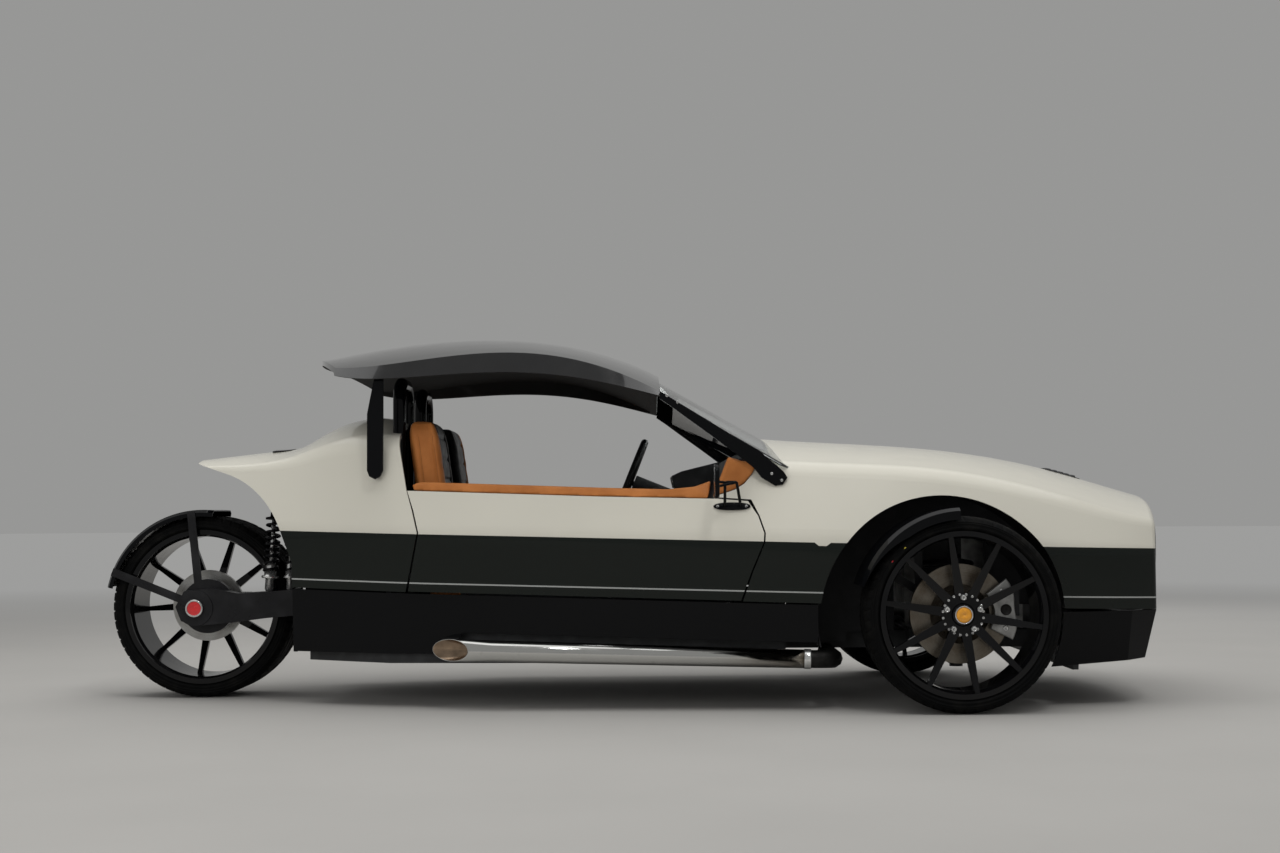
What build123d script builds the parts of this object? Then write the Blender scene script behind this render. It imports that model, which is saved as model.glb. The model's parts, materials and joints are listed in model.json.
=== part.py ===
"""Three wheeled two-seat roadster: two steered front wheels, one rear wheel on a single-sided arm.

Frame: +X forward, +Y left, +Z up, millimetres. The origin is on the ground below the middle of
the car's length. Pieces are drawn for the right side (-Y) and mirrored to the left.
"""
import os
from math import cos, radians, sin, sqrt

from build123d import *

os.makedirs("parts", exist_ok=True)

# Overall layout
LENGTH = 3724.0
NOSE_X = LENGTH / 2
WHEELBASE = 2610.0
REAR_AXLE_X = -1513.0
FRONT_AXLE_X = REAR_AXLE_X + WHEELBASE
FRONT_HALF_TRACK = 752.0
KINGPIN_Y = 676.0
RAKE = 0.0288               # fall of the body's long lines per mm forward
FAR = 900.0                 # past the car's side
HIGH = 1400.0               # past the car's top

# Wheels
FRONT_TYRE_RADIUS = 318.0
FRONT_TYRE_WIDTH = 225.0
FRONT_RIM_RADIUS = 262.0
REAR_TYRE_RADIUS = 325.0
REAR_TYRE_WIDTH = 285.0
REAR_RIM_RADIUS = 267.0
SPOKES = 10
REAR_TURN = -13.0           # how far the rear wheel stands turned
HUB_RADIUS = 70.0
HUB_HALF = 14.0
SPINDLE_RADIUS = 30.0
FRONT_FACE_Y = 64.0         # middle of the hub, from the wheel's middle
REAR_FACE_Y = 58.0
FRONT_DISC_RADIUS = 162.0
REAR_DISC_RADIUS = 128.0
DISC_HALF = 11.0

# Walls and gaps
PANEL = 14.0                # body clamshells
SKIRT = 12.0                # black skirts and chin
LINER = 3.0
SPLASH_LOW = 206.0          # lower end of the liner behind a front wheel
DOOR_THICKNESS = 58.0
SHUT_GAP = 5.5              # round a door
SEAT_GAP = 0.3              # between a piece and what carries it
BEARING_GAP = 0.05          # between a shaft and its bore
RUNNING_GAP = 6.0           # between pieces that move past each other
RIB = 16.0                  # plates of the tub
WALL = 20.0                 # floor and sills of the tub

# Heights of the body's long lines where x is 0
SEAM_Z = 371.0              # upper body above, black skirts below
FLOOR_Z = 150.0             # underside of the tub
FLOOR_TOP = FLOOR_Z + WALL
SILL_TOP = 340.0

# Upper body from tail to nose. Columns: x, half width at the seam, half width and height of the
# widest line, half width and height of the shoulder, height of the middle, radius of the shoulder.
SECTIONS = [
    (-1554.0, 205.0, 215.0, 640.0, 150.0, 828.0, 852.0, 14.0),
    (-1505.0, 237.0, 248.0, 632.0, 180.0, 825.0, 857.0, 20.0),
    (-1450.0, 272.0, 284.0, 625.0, 213.0, 824.0, 863.0, 26.0),
    (-1350.0, 330.0, 345.0, 610.0, 268.0, 824.0, 874.0, 38.0),
    (-1250.0, 377.0, 394.0, 604.0, 322.0, 831.0, 884.0, 50.0),
    (-1150.0, 420.0, 440.0, 600.0, 370.0, 848.0, 902.0, 60.0),
    (-1060.0, 460.0, 482.0, 597.0, 415.0, 872.0, 954.0, 70.0),
    (-960.0, 500.0, 525.0, 594.0, 470.0, 897.0, 992.0, 80.0),
    (-870.0, 535.0, 560.0, 592.0, 510.0, 908.0, 1003.0, 85.0),
    (-780.0, 572.0, 598.0, 590.0, 542.0, 905.0, 988.0, 90.0),
    (-500.0, 620.0, 650.0, 582.0, 575.0, 898.0, 986.0, 90.0),
    (-200.0, 650.0, 684.0, 574.0, 600.0, 890.0, 985.0, 90.0),
    (480.0, 720.0, 752.0, 556.0, 640.0, 815.0, 918.0, 90.0),
    (1100.0, 735.0, 757.0, 540.0, 660.0, 775.0, 876.0, 90.0),
    (1440.0, 692.0, 706.0, 530.0, 630.0, 700.0, 822.0, 90.0),
    (1700.0, 610.0, 622.0, 522.0, 572.0, 630.0, 751.0, 70.0),
    (1870.0, 526.0, 534.0, 516.0, 500.0, 612.0, 700.0, 40.0),
]
DOOR_SECTIONS = SECTIONS[9:15]
BELT_RADIUS = 160.0
NOSE_RADIUS = 2300.0        # the nose's curve seen from above
NOSE_ROUND = 26.0           # the rounding of its front edge
NOSE_ROUND_LOW = 545.0      # and where that begins
TAIL_X = -1531.0
SEAM_OVERLAP = 30.0         # how far the inside is drawn past the seam

# Black skirts below the seam. Columns: x, half width at the top, half width and height of the bottom.
SKIRT_SECTIONS = [
    (-1138.0, 424.0, 396.0, 182.0),
    (-790.0, 566.0, 545.0, 182.0),
    (-200.0, 646.0, 625.0, 182.0),
    (480.0, 716.0, 695.0, 182.0),
    (640.0, 724.0, 703.0, 182.0),
]
SKIRT_REAR_X = SKIRT_SECTIONS[0][0]
PIPE_CHANNEL = [(-550, 100), (-550, 240), (-536, 256), (570, 225), (700, 222), (700, 100)]
# Chin below the nose. Columns: height, half width at the arch, x and half width where it turns in,
# x and half width of the front corner, front end.
CHIN_SECTIONS = [
    (316.0, 690.0, 1700.0, 606.0, 1800.0, 532.0, 1856.0),
    (120.0, 640.0, 1690.0, 560.0, 1760.0, 496.0, 1812.0),
]
CHIN_REAR_X = 1370.0
CHIN_UNDERSIDE = [(1300, 0), (1300, 126), (1900, 160), (1900, 0)]

# Side profiles, x and z
NOSE_REAR_EDGE = [(388, 340), (428, 458), (468, 554), (470, 584), (452, 640), (426, 694),
                  (299, 703), (333, 714), (371, 726), (405, 747), (431, 777), (442, 798), (462, 1000)]
COWL_TRIM_TOP = [(441, 812), (435, 818), (393, 826), (351, 838)]
TAIL_FRONT_EDGE = [(-740, 340), (-687, 589), (-706, 665), (-726, 733), (-754, 882), (-775, 1100)]
DOOR_FRONT_EDGE = [(426, 694), (452, 640), (470, 584), (468, 554), (428, 458), (388, 340)]
DOOR_TOP = [(-723, 731), (-73, 707), (317, 698)]
PAD_HEIGHT = 28.0           # leather pad on top of a door
PAD_DEPTH = 62.0
CORE_INSET = 26.0           # the door's inner box, inside its skin's outline
ARCH_X = 1052.0
ARCH_Z = 298.0
ARCH_RADIUS = 406.0
ARCH_INNER_Y = 440.0
REAR_EDGE_X = -1139.0
TAIL_ARCH = [(-1700, 890), (-1400, 797), (-1262, 716), (-1172, 575), (REAR_EDGE_X, 490)]

# Door hinge, inside the door's front edge
HINGE_X = 365.0
HINGE_Y = 704.0
HINGE_PIN = 5.5
HINGE_KNUCKLE = 8.5
HINGE_BANDS = [(454.0, 502.0), (552.0, 600.0)]
HINGE_ARM = (-620.0, -604.0)
DOOR_LIP = 8.0              # skin left outside the hinges
NOSE_LIP = 6.0              # skin left where the door's front edge swings past

# Nose fittings
GRILLE = (300.0, 372.0, 560.0)      # half width, low and high
LAMP_Y = 430.0
LAMP_Z = 528.0
LAMP_RADIUS = 76.0
LAMP_WALL = 8.0
TAIL_LAMP_HEIGHT = 10.0

# Roof from tail to front. Columns: x, half width, height of the side's lower edge, height of the
# crease, height of the middle.
ROOF_SECTIONS = [
    (-1105.0, 452.0, 1182.0, 1186.0, 1194.0),
    (-860.0, 600.0, 1108.0, 1150.0, 1250.0),
    (-480.0, 632.0, 1124.0, 1190.0, 1280.0),
    (-85.0, 664.0, 1092.0, 1146.0, 1228.0),
    (126.0, 680.0, 1040.0, 1056.0, 1146.0),
]
ROOF_FRONT_X = ROOF_SECTIONS[-1][0]
ROOF_END_X = -1088.0
ROOF_END_RADIUS = 1300.0    # the rear edge's curve seen from above
ROOF_THICKNESS = 16.0
ROOF_CREASE = 24.0
HEADER = 26.0
LEG_PROFILE = [(-860, 800), (-852, 780), (-832, 770), (-814, 780), (-805, 800), (-805, 1240), (-862, 1240)]
LEG_Y = 582.0
LEG_PLATE = 16.0

# Windscreen
SCREEN_SLOPE = -0.57        # rise of the glass per mm forward
SCREEN_X = 351.0
SCREEN_Z = 996.0            # middle of the glass at SCREEN_X
SCREEN_CROWN = 73.0
GLASS = 6.0
RAIL_Y = 680.0
RAIL_PLATE = 14.0
RAIL_TOP = [(126, 1056), (177, 1024), (265, 970), (350, 917), (451, 858), (512, 806), (536, 784), (547, 766)]
RAIL_BOTTOM = [(531, 743), (506, 739), (460, 767), (438, 797), (392, 835), (308, 898), (223, 960), (164, 1004),
               (126, 1030)]

# Cabin
TUB_PLAN = [(-1090, 340), (-790, 520), (540, 620), (540, -620), (-790, -520), (-1090, -340)]
TUB_INSIDE = [(-1070, 324), (-790, 500), (520, 600), (520, -600), (-790, -500), (-1070, -324)]
FIREWALL_X = 520.0
BULKHEAD_X = -806.0
SEAT_Y = 315.0
SEAT_HALF_WIDTH = 175.0
SEAT_PAD_HALF = 118.0       # middle panel between the bolsters
BOLSTER_DROP = 14.0
CUSHION = [(-600, 171), (-80, 171), (-70, 300), (-95, 335), (-590, 300)]
BACKREST = [(-655, 171), (-575, 171), (-560, 345), (-640, 940), (-655, 975), (-700, 985), (-738, 950), (-740, 920)]
CONSOLE = [(-740, 171), (380, 171), (360, 520), (250, 560), (60, 400), (-90, 385), (-700, 385), (-740, 420)]
CONSOLE_HALF = 110.0
DASH = [(307, 690), (357, 834), (430, 868), (519.7, 880), (519.7, 672), (330, 672)]
DASH_HALF = 560.0
BINNACLE = [(190, 745), (180, 790), (215, 806), (380, 846), (380, 700), (230, 700)]
BINNACLE_HALF = 125.0
WHEEL_CENTRE = (17.0, SEAT_Y, 769.0)
COLUMN_TILT = 22.0
STEERING_RADIUS = 175.0
STEERING_RIM = 14.0
COLUMN_RADIUS = 34.0
SHAFT_RADIUS = 10.0
HOOP_X = BULKHEAD_X + RIB + SEAT_GAP + 22.0
HOOP_RADIUS = 22.0
HOOP_Y = (195.0, 435.0)
HOOP_TOP = 1104.0

# Suspension
UPRIGHT_HALF = 138.0
PIVOT_Z = (151.0, 485.0)
PIVOT_INNER_Z = (215.0, 470.0)
TOWER_Y = 430.0
TIE_X = FRONT_AXLE_X - 140.0
TIE_Z = 262.0
RACK_RADIUS = 14.0
RAIL_BOX = (280.0, 340.0, 180.0, 240.0)     # front rails: inner and outer y, low and high
ARM_Y = (175.0, 245.0)
ARM_PROFILE = [(-1583, 330), (-1553, 385), (-1453, 394), (-1364, 376), (-1160, 388), (-1125, 376), (-1125, 300),
               (-1261, 289), (-1364, 276), (-1513, 262), (-1563, 280)]
# Rear coil-overs. Columns: x of the low end, x of the high end, radius of the spring.
SHOCKS = [(-1262.0, -1240.0, 29.0), (-1188.0, -1186.0, 21.0)]
SHOCK_Y = -200.0
COIL_WIRE = 5.2
SHOCK_Z = (370.0, 680.0)
BEAM = (-225.0, -175.0, 680.0, 716.0)

# Mudguards
GUARD = 3.0
FRONT_GUARD_RADIUS = FRONT_TYRE_RADIUS + 27.0
FRONT_GUARD_HALF = 128.0
FRONT_GUARD_ARC = (92.0, 164.0)
# The cut that narrows its side to the rear: x and z of its centre, and how much smaller it is.
GUARD_TAPER = (-54.0, -9.5, 57.0)
REAR_GUARD_RADIUS = REAR_TYRE_RADIUS + 22.0
REAR_GUARD_HALF = 158.0
REAR_GUARD_ARC = (83.0, 168.0)
STAY = 6.0

# Exhausts
PIPE_RADIUS = 34.0
PIPE_WALL = 2.5
PIPE_ROUTE = [(-700, -636, 203), (-563, -622, 200), (613, -686, 168), (700, -640, 166), (700, -340.3, 166)]
PIPE_BEND = 60.0
TIP_RADIUS = 38.0
TIP_CUT = [(-740, 100), (-700, 100), (-634, 300), (-740, 300)]
HANGERS = (-450.0, 480.0)


def seam_z(x):
    """Height of the seam between the upper body and the skirts."""
    return SEAM_Z - RAKE * x


def save(part, name):
    """Label one finished piece and write it to its own file."""
    part.label = name
    export_step(part, f"parts/{name}.step")


def save_pair(part, name):
    """Write a right-hand piece and its mirror image to a file each."""
    save(part, f"{name}_right")
    save(mirror(part, about=Plane.XZ), f"{name}_left")


def side_prism(points, half_width=FAR):
    """A side profile in x and z, carried half_width to both sides of the middle."""
    with BuildPart() as prism:
        with BuildSketch(Plane.XZ):
            with BuildLine():
                Polyline(*points, close=True)
            make_face()
        extrude(amount=half_width, both=True)
    return prism.part


def plan_prism(points, low, high):
    """A plan outline in x and y, raised from low to high."""
    with BuildPart() as prism:
        with BuildSketch(Plane.XY.offset(low)):
            with BuildLine():
                Polyline(*points, close=True)
            make_face()
        extrude(amount=high - low)
    return prism.part


def box(x0, x1, y0, y1, z0, z1):
    """A block between two corners."""
    return plan_prism([(x0, y0), (x1, y0), (x1, y1), (x0, y1)], z0, z1)


def across(x, z, radius, y0, y1):
    """A round bar along Y between y0 and y1."""
    with BuildPart() as bar:
        with BuildSketch(Plane.XZ.offset(-y0)):
            with Locations((x, z)):
                Circle(radius)
        extrude(amount=-(y1 - y0))
    return bar.part


def tube(start, end, radius):
    """A round bar from one point to another."""
    line = Edge.make_line(start, end)
    with BuildPart() as bar:
        with BuildSketch(Plane(origin=start, z_dir=line % 0)):
            Circle(radius)
        extrude(amount=line.length)
    return bar.part


def ring(profile):
    """A body of revolution about the Y axis, from a profile of radius and y."""
    with BuildPart() as turned:
        with BuildSketch(Plane.XY):
            with BuildLine():
                Polyline(*profile, close=True)
            make_face()
        revolve(axis=Axis.Y)
    return turned.part


def left_and_right(part):
    """A piece together with its mirror image on the other side of the car."""
    return part + mirror(part, about=Plane.XZ)


def plan_trim(inset):
    """Everything behind the nose's curve and ahead of the tail's end."""
    radius = NOSE_RADIUS - inset
    centre = NOSE_X - NOSE_RADIUS
    corner_x = centre + sqrt(radius ** 2 - FAR ** 2)
    with BuildPart() as trim:
        with BuildSketch():
            with BuildLine():
                Polyline((corner_x, FAR), (TAIL_X + inset, FAR), (TAIL_X + inset, -FAR), (corner_x, -FAR))
                ThreePointArc((corner_x, -FAR), (centre + radius, 0), (corner_x, FAR))
            make_face()
        extrude(amount=HIGH)
    return trim.part


def hull(inset, lowered=0.0, rows=SECTIONS):
    """The upper body as one solid, with every section drawn in by inset."""
    with BuildPart() as body:
        for x, seam_w, belt_w, belt_z, shoulder_w, shoulder_z, top_z, radius in rows:
            low = seam_z(x) - lowered
            shoulder = (shoulder_w - inset, shoulder_z - inset * 0.7)
            with BuildSketch(Plane.YZ.offset(x)) as section:
                with BuildLine():
                    Polyline(
                        (-shoulder[0], shoulder[1]),
                        (-belt_w + inset, belt_z),
                        (-seam_w + inset, low),
                        (seam_w - inset, low),
                        (belt_w - inset, belt_z),
                        shoulder,
                    )
                    ThreePointArc(shoulder, (0, top_z - inset), (-shoulder[0], shoulder[1]))
                make_face()
                belt_radius = BELT_RADIUS * min(1.0, (shoulder_z - belt_z) / 230.0)
                fillet(section.vertices().group_by(Axis.Y)[1], belt_radius)
                fillet(section.vertices().group_by(Axis.Y)[-1], max(radius - inset, 6.0))
        loft()
    return body.part & plan_trim(inset)


def rounded_nose(body, radius):
    """The upper body with the front edge of its hood and shoulders rounded."""
    front = body.faces().filter_by(GeomType.CYLINDER).sort_by(Axis.X)[-1]
    upper = [edge for edge in front.edges() if edge.center().Z > NOSE_ROUND_LOW]
    return body.fillet(radius, upper)


def skirt_solid(inset):
    """The solid inside the black skirts, with every section drawn in by inset."""
    with BuildPart() as body:
        for x, top_w, bottom_w, bottom_z in SKIRT_SECTIONS:
            top_z = seam_z(x) - SHUT_GAP
            with BuildSketch(Plane.YZ.offset(x)):
                with BuildLine():
                    Polyline(
                        (-top_w + inset, top_z),
                        (-bottom_w + inset, bottom_z),
                        (bottom_w - inset, bottom_z),
                        (top_w - inset, top_z),
                        close=True,
                    )
                make_face()
        loft(ruled=True)
    return body.part


def chin_solid(inset):
    """The solid inside the chin, between its plan outlines at the seam and at the bottom."""
    with BuildPart() as body:
        for z, half, turn_x, turn_y, corner_x, corner_y, front in CHIN_SECTIONS:
            side = [(corner_x - inset, corner_y - inset), (turn_x, turn_y - inset),
                    (CHIN_REAR_X + inset, half - inset)]
            with BuildSketch(Plane.XY.offset(z)):
                with BuildLine():
                    Polyline(*side, *[(x, -y) for x, y in reversed(side)])
                    ThreePointArc((side[0][0], -side[0][1]), (front - inset, 0), side[0])
                make_face()
        loft(ruled=True)
    return body.part


def tail_opening(grow):
    """The space round the rear wheel, its outline grown by grow."""
    tip, start, middle, end, foot = TAIL_ARCH
    with BuildPart() as opening:
        with BuildSketch(Plane.XZ):
            with BuildLine():
                ThreePointArc(start, middle, end)
                Polyline(end, foot, (foot[0], FLOOR_Z), (tip[0], FLOOR_Z), tip, start)
            make_face()
            if grow > 0:
                offset(amount=grow, kind=Kind.INTERSECTION)
        extrude(amount=FAR, both=True)
    return opening.part


def roof_solid(inset, drop=0.0):
    """The roof cap as a solid, with its surface drawn in by inset and its lower edge lowered by drop."""
    with BuildPart() as cap_part:
        for x, half, low_z, crease_z, top_z in ROOF_SECTIONS:
            crease = (half - ROOF_CREASE - inset, crease_z - inset)
            with BuildSketch(Plane.YZ.offset(x)):
                with BuildLine():
                    Polyline(crease, (half - inset, low_z - drop), (-half + inset, low_z - drop),
                             (-crease[0], crease[1]))
                    ThreePointArc((-crease[0], crease[1]), (0, top_z - inset), crease)
                make_face()
        loft()
    return cap_part.part


def tyre(radius, width, rim_radius):
    """A tyre about the origin, its axis along Y."""
    half = width / 2
    bead = half - 14.0
    side = [
        (rim_radius + SEAT_GAP, bead),
        (rim_radius + 11, bead),
        (rim_radius + 18, half - 2),
        (radius - 30, half),
        (radius - 11, half - 9),
        (radius - 3, half - 26),
        (radius, half - 62),
    ]
    return ring(side + [(r, -y) for r, y in reversed(side)])


def spoke(rim_radius, face_y, lip_y):
    """One spoke along +X, from the hub out to the rim's barrel, on the -Y side."""
    root = HUB_RADIUS - 14
    end = rim_radius - 8
    with BuildPart() as blade:
        with BuildSketch(Plane.XY):
            with BuildLine():
                Polyline((root, -face_y - 12), (root, -face_y + 12), (end, -lip_y + 22), (end, -lip_y), close=True)
            make_face()
        extrude(amount=20, both=True)
        with BuildSketch(Plane.XZ):
            with BuildLine():
                Polyline((root, -16), (end, -8), (end, 8), (root, 16), close=True)
            make_face()
        extrude(amount=FAR, both=True, mode=Mode.INTERSECT)
    return blade.part


def rim(rim_radius, width, face_y):
    """A rim about the origin with its spokes on the -Y side, its hub bored for the spindle."""
    bead = width / 2 - 14.0
    flange = bead + SEAT_GAP
    lip_y = bead + 9.0
    barrel = ring([
        (rim_radius - 16, -bead + 20), (rim_radius - 16, bead - 20), (rim_radius - 9, bead - 4),
        (rim_radius - 9, lip_y), (rim_radius + 8, lip_y), (rim_radius + 8, flange), (rim_radius, flange),
        (rim_radius, -flange), (rim_radius + 8, -flange), (rim_radius + 8, -lip_y), (rim_radius - 9, -lip_y),
        (rim_radius - 9, -bead + 4),
    ])
    one = spoke(rim_radius, face_y, lip_y - 8)
    step = 360 / SPOKES
    spokes = [Rot(0, step * n + 9, 0) * one for n in range(SPOKES)]
    hub = ring([(0, -face_y - HUB_HALF - 10), (34, -face_y - HUB_HALF - 7), (38, -face_y - HUB_HALF),
                (HUB_RADIUS, -face_y - HUB_HALF), (HUB_RADIUS, -face_y + HUB_HALF), (0, -face_y + HUB_HALF)])
    bolts = [across(56 * cos(radians(72 * n + 90)), 56 * sin(radians(72 * n + 90)), 10,
                    -face_y - HUB_HALF - 8, -face_y) for n in range(5)]
    bore = across(0, 0, SPINDLE_RADIUS, -face_y - HUB_HALF + 3, -face_y + FAR)
    return barrel + spokes + hub + bolts - bore


def disc(radius, hat_y):
    """A brake disc about the origin, its hat reaching to hat_y on the -Y side."""
    rotor = ring([(radius * 0.58, -DISC_HALF), (radius, -DISC_HALF), (radius, DISC_HALF), (radius * 0.58, DISC_HALF)])
    hat = ring([(SPINDLE_RADIUS + 8, -hat_y), (radius * 0.42, -hat_y), (radius * 0.60, -DISC_HALF),
                (radius * 0.60, DISC_HALF), (radius * 0.54, DISC_HALF), (radius * 0.54, -DISC_HALF),
                (radius * 0.38, -hat_y + 7), (SPINDLE_RADIUS + 8, -hat_y + 7)])
    return rotor + hat


def mudguard(radius, half, arc, lip):
    """A curved mudguard with rolled edges about the origin, over arc degrees from +X up and back."""
    edge = [
        (radius - lip, half), (radius - 10, half), (radius, half - 22),
    ]
    inner = [
        (radius - lip, half - GUARD), (radius - 11, half - GUARD), (radius - GUARD, half - 23),
    ]
    outline = edge + [(r, -y) for r, y in reversed(edge)] + [(r, -y) for r, y in inner] + list(reversed(inner))
    start, end = arc
    with BuildPart() as strip:
        with BuildSketch(Plane.XY):
            with BuildLine():
                Polyline(*outline, close=True)
            make_face()
        revolve(axis=Axis.Y, revolution_arc=end - start)
    return Rot(0, -end, 0) * strip.part


def coil_over(low, high, coil_radius, turns):
    """A damper with a spring of separate turns round it, from a low point to a high one."""
    line = Edge.make_line(low, high)
    body = tube(low, high, coil_radius * 0.32) + tube(low, line @ 0.45, coil_radius * 0.5)
    for place in (0.18, 0.86):
        body += tube(line @ place, line @ (place + 0.03), coil_radius)
    wire = [(coil_radius - 6 + COIL_WIRE * cos(radians(60 * n)), COIL_WIRE * sin(radians(60 * n))) for n in range(6)]
    turn = Rot(90, 0, 0) * ring(wire)
    for n in range(turns):
        place = 0.22 + 0.63 * (n + 0.5) / turns
        plane = Plane(origin=line @ place, z_dir=line % 0)
        body += plane.location * Rot(0, 7, 0) * turn
        body += tube(line @ (place - 0.02), line @ (place + 0.02), coil_radius - 8)
    return body


# Shared cutters
outer = rounded_nose(hull(0), NOSE_ROUND)
inside = rounded_nose(hull(PANEL, SEAM_OVERLAP), NOSE_ROUND - PANEL)
shell = outer - inside
carrier = hull(PANEL + SEAT_GAP, SEAM_OVERLAP)
outside = hull(-SEAT_GAP)
right_half = box(-2000, 2000, -FAR, 0, 0, HIGH)
arches = left_and_right(across(ARCH_X, ARCH_Z, ARCH_RADIUS, -FAR, -ARCH_INNER_Y))
tail_arch = tail_opening(0.0)
hoop_legs = [tube((HOOP_X, y, 600), (HOOP_X, y, 1090), HOOP_RADIUS + 2) for y in HOOP_Y]

# Body clamshells
half_grille, grille_low, grille_high = GRILLE
nose_side = NOSE_REAR_EDGE + [(1900, 1000), (1900, 300), (388, 300)]
grille_cut = box(1700, 1900, -half_grille, half_grille, grille_low, grille_high)
lamp_bore = left_and_right(tube((1500, -LAMP_Y, LAMP_Z), (1900, -LAMP_Y, LAMP_Z), LAMP_RADIUS))
nose_body = (shell & side_prism(nose_side)) - arches - grille_cut - lamp_bore
edge_low = NOSE_REAR_EDGE[:5]
swing_band = [(x - 1, z) for x, z in edge_low] + [(x + 16, z) for x, z in reversed(edge_low)]
nose_body -= hull(NOSE_LIP, SEAM_OVERLAP, DOOR_SECTIONS) & side_prism(swing_band)
save(nose_body, "nose_body")

tail_side = TAIL_FRONT_EDGE + [(-1600, 1100), (-1600, 340)]
tail_body = (shell & side_prism(tail_side)) - tail_arch
for leg in hoop_legs:
    tail_body = tail_body - leg - mirror(leg, about=Plane.XZ)
save(tail_body.solids().sort_by(SortBy.VOLUME)[-1], "tail_body")

# Doors: a skin with a smaller box behind it, hinged on pins inside its front edge
rear_edge = [(x + SHUT_GAP, z) for x, z in TAIL_FRONT_EDGE[:3]]
front_edge = [(x - SHUT_GAP, z) for x, z in DOOR_FRONT_EDGE]
bottom = [(394 - SHUT_GAP, seam_z(388) + 2), (-726 + SHUT_GAP, seam_z(-726) + 2)]
door_outline = DOOR_TOP[:2] + [(317, 697), (415, 689)] + front_edge[1:-1] + bottom + rear_edge[1:]
core_outline = [(-693, 712), (300, 672), (398, 664), (436, 584), (432, 560), (394, 466), (364, 396),
                (-698, 428), (-655, 589)]
door_block = inside & side_prism(core_outline)
door_core = (door_block - hull(DOOR_THICKNESS, SEAM_OVERLAP, DOOR_SECTIONS)) & right_half
door_right = ((shell & side_prism(door_outline)) & right_half) + door_core
hinge_space = hull(DOOR_LIP, SEAM_OVERLAP, DOOR_SECTIONS)
for low, high in HINGE_BANDS:
    door_right -= hinge_space & box(HINGE_X - 12, 468, -FAR, -500, low, high)
    door_right += tube((HINGE_X, -HINGE_Y, low - 14), (HINGE_X, -HINGE_Y, high + 14), HINGE_PIN)
save_pair(door_right, "door")

pad_low = [(x, z + SEAT_GAP) for x, z in DOOR_TOP[:2]] + [(288, 697.7 + SEAT_GAP)]
pad_high = [(296, 758), (280, 750), (240, 736), (150, 728), (-73, 707 + PAD_HEIGHT), (-690, 731 + PAD_HEIGHT), (-712, 752)]
pad_profile = [(-706, pad_low[0][1])] + pad_low[1:] + pad_high
pad = hull(5.0, 0.0, DOOR_SECTIONS) & side_prism(pad_profile)
pad = (pad - hull(PAD_DEPTH, 0.0, DOOR_SECTIONS)) & right_half
save_pair(pad.solids().sort_by(SortBy.VOLUME)[-1], "door_pad")

# Skirts and chin
skirts = (skirt_solid(0) - skirt_solid(SKIRT)) - box(-1124, 700, -360, 360, 0, 200)
skirts += skirt_solid(0) & box(SKIRT_REAR_X, SKIRT_REAR_X + SKIRT, -FAR, FAR, 0, 600)
skirts = skirts - box(-1124, 700, -FAR, FAR, 100, 184) - side_prism(PIPE_CHANNEL) - arches
skirts = skirts - box(-1200, 700, -300, 300, 0, 600)
save(skirts, "side_skirts")

chin = (chin_solid(0) - chin_solid(SKIRT)) - arches - box(1300, 1420, -560, 560, 0, 400)
chin -= side_prism(CHIN_UNDERSIDE)
save(chin, "front_chin")

# Tub: floor, sills, bulkheads, front rails, hinge arms and rack tube
floor = plan_prism(TUB_PLAN, FLOOR_Z, SILL_TOP) - plan_prism(TUB_INSIDE, FLOOR_TOP, 400)
firewall = carrier & box(FIREWALL_X, FIREWALL_X + WALL, -640, 640, 356, 1000)
firewall += box(FIREWALL_X, FIREWALL_X + WALL, -620, 620, 160, 357)
bulkhead = carrier & box(BULKHEAD_X, BULKHEAD_X + RIB, -600, 600, 394, 1000)
bulkhead += box(BULKHEAD_X, BULKHEAD_X + RIB, -505, 505, 160, 395)
ribs = [box(x, x + RIB, -FAR, FAR, 262, 330) for x in (-1000, -640, -60, 480)]
ribs = ((Part() + ribs) & skirt_solid(SKIRT + SEAT_GAP)) - plan_prism(TUB_INSIDE, 100, 400)
nose_wall = carrier & box(1500, 1520, -640, 640, 329, 1000)
nose_wall += box(1500, 1520, -420, 420, 180, 330)
nose_wall += chin_solid(SKIRT + SEAT_GAP) & box(1500, 1520, -700, 700, 112, 316)
rail_in, rail_out, rail_low, rail_high = RAIL_BOX
rails = box(530, 1510, -rail_out, -rail_in, rail_low, rail_high)
towers = box(1030, 1160, -TOWER_Y, -380, 190, 560)
towers -= across(FRONT_AXLE_X, FRONT_TYRE_RADIUS, 36, -500, -300)
saddles = box(TIE_X - 20, TIE_X + 20, -320, -284, rail_high - 10, TIE_Z)
hinge_arms = Part()
for low, high in HINGE_BANDS:
    knuckle_low = low + RUNNING_GAP
    knuckle_high = high - RUNNING_GAP
    hinge_arms += tube((HINGE_X, -HINGE_Y, knuckle_low), (HINGE_X, -HINGE_Y, knuckle_high), HINGE_KNUCKLE)
    hinge_arms += box(HINGE_X - 8, HINGE_X + 8, -HINGE_Y, HINGE_ARM[0] + 2, knuckle_low, knuckle_high)
    hinge_arms += box(HINGE_X - 8, FIREWALL_X + 4, HINGE_ARM[0], HINGE_ARM[1], knuckle_low, knuckle_high)
    hinge_arms -= tube((HINGE_X, -HINGE_Y, low), (HINGE_X, -HINGE_Y, high), HINGE_PIN + BEARING_GAP)
cross = box(980, 1040, -TOWER_Y, TOWER_Y, 190, 240) + box(1160, 1220, -TOWER_Y, TOWER_Y, 190, 240)
cross += across(TIE_X, TIE_Z, RACK_RADIUS + 10, -300, 300)
beam = box(-1250, BULKHEAD_X + 2, BEAM[0], BEAM[1], BEAM[2], BEAM[3])
tub = floor + firewall + bulkhead + ribs + nose_wall + cross + beam
tub += left_and_right(rails + towers + saddles + hinge_arms)
tub -= across(TIE_X, TIE_Z, RACK_RADIUS + BEARING_GAP, -400, 400)
save(tub, "tub")

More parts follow.
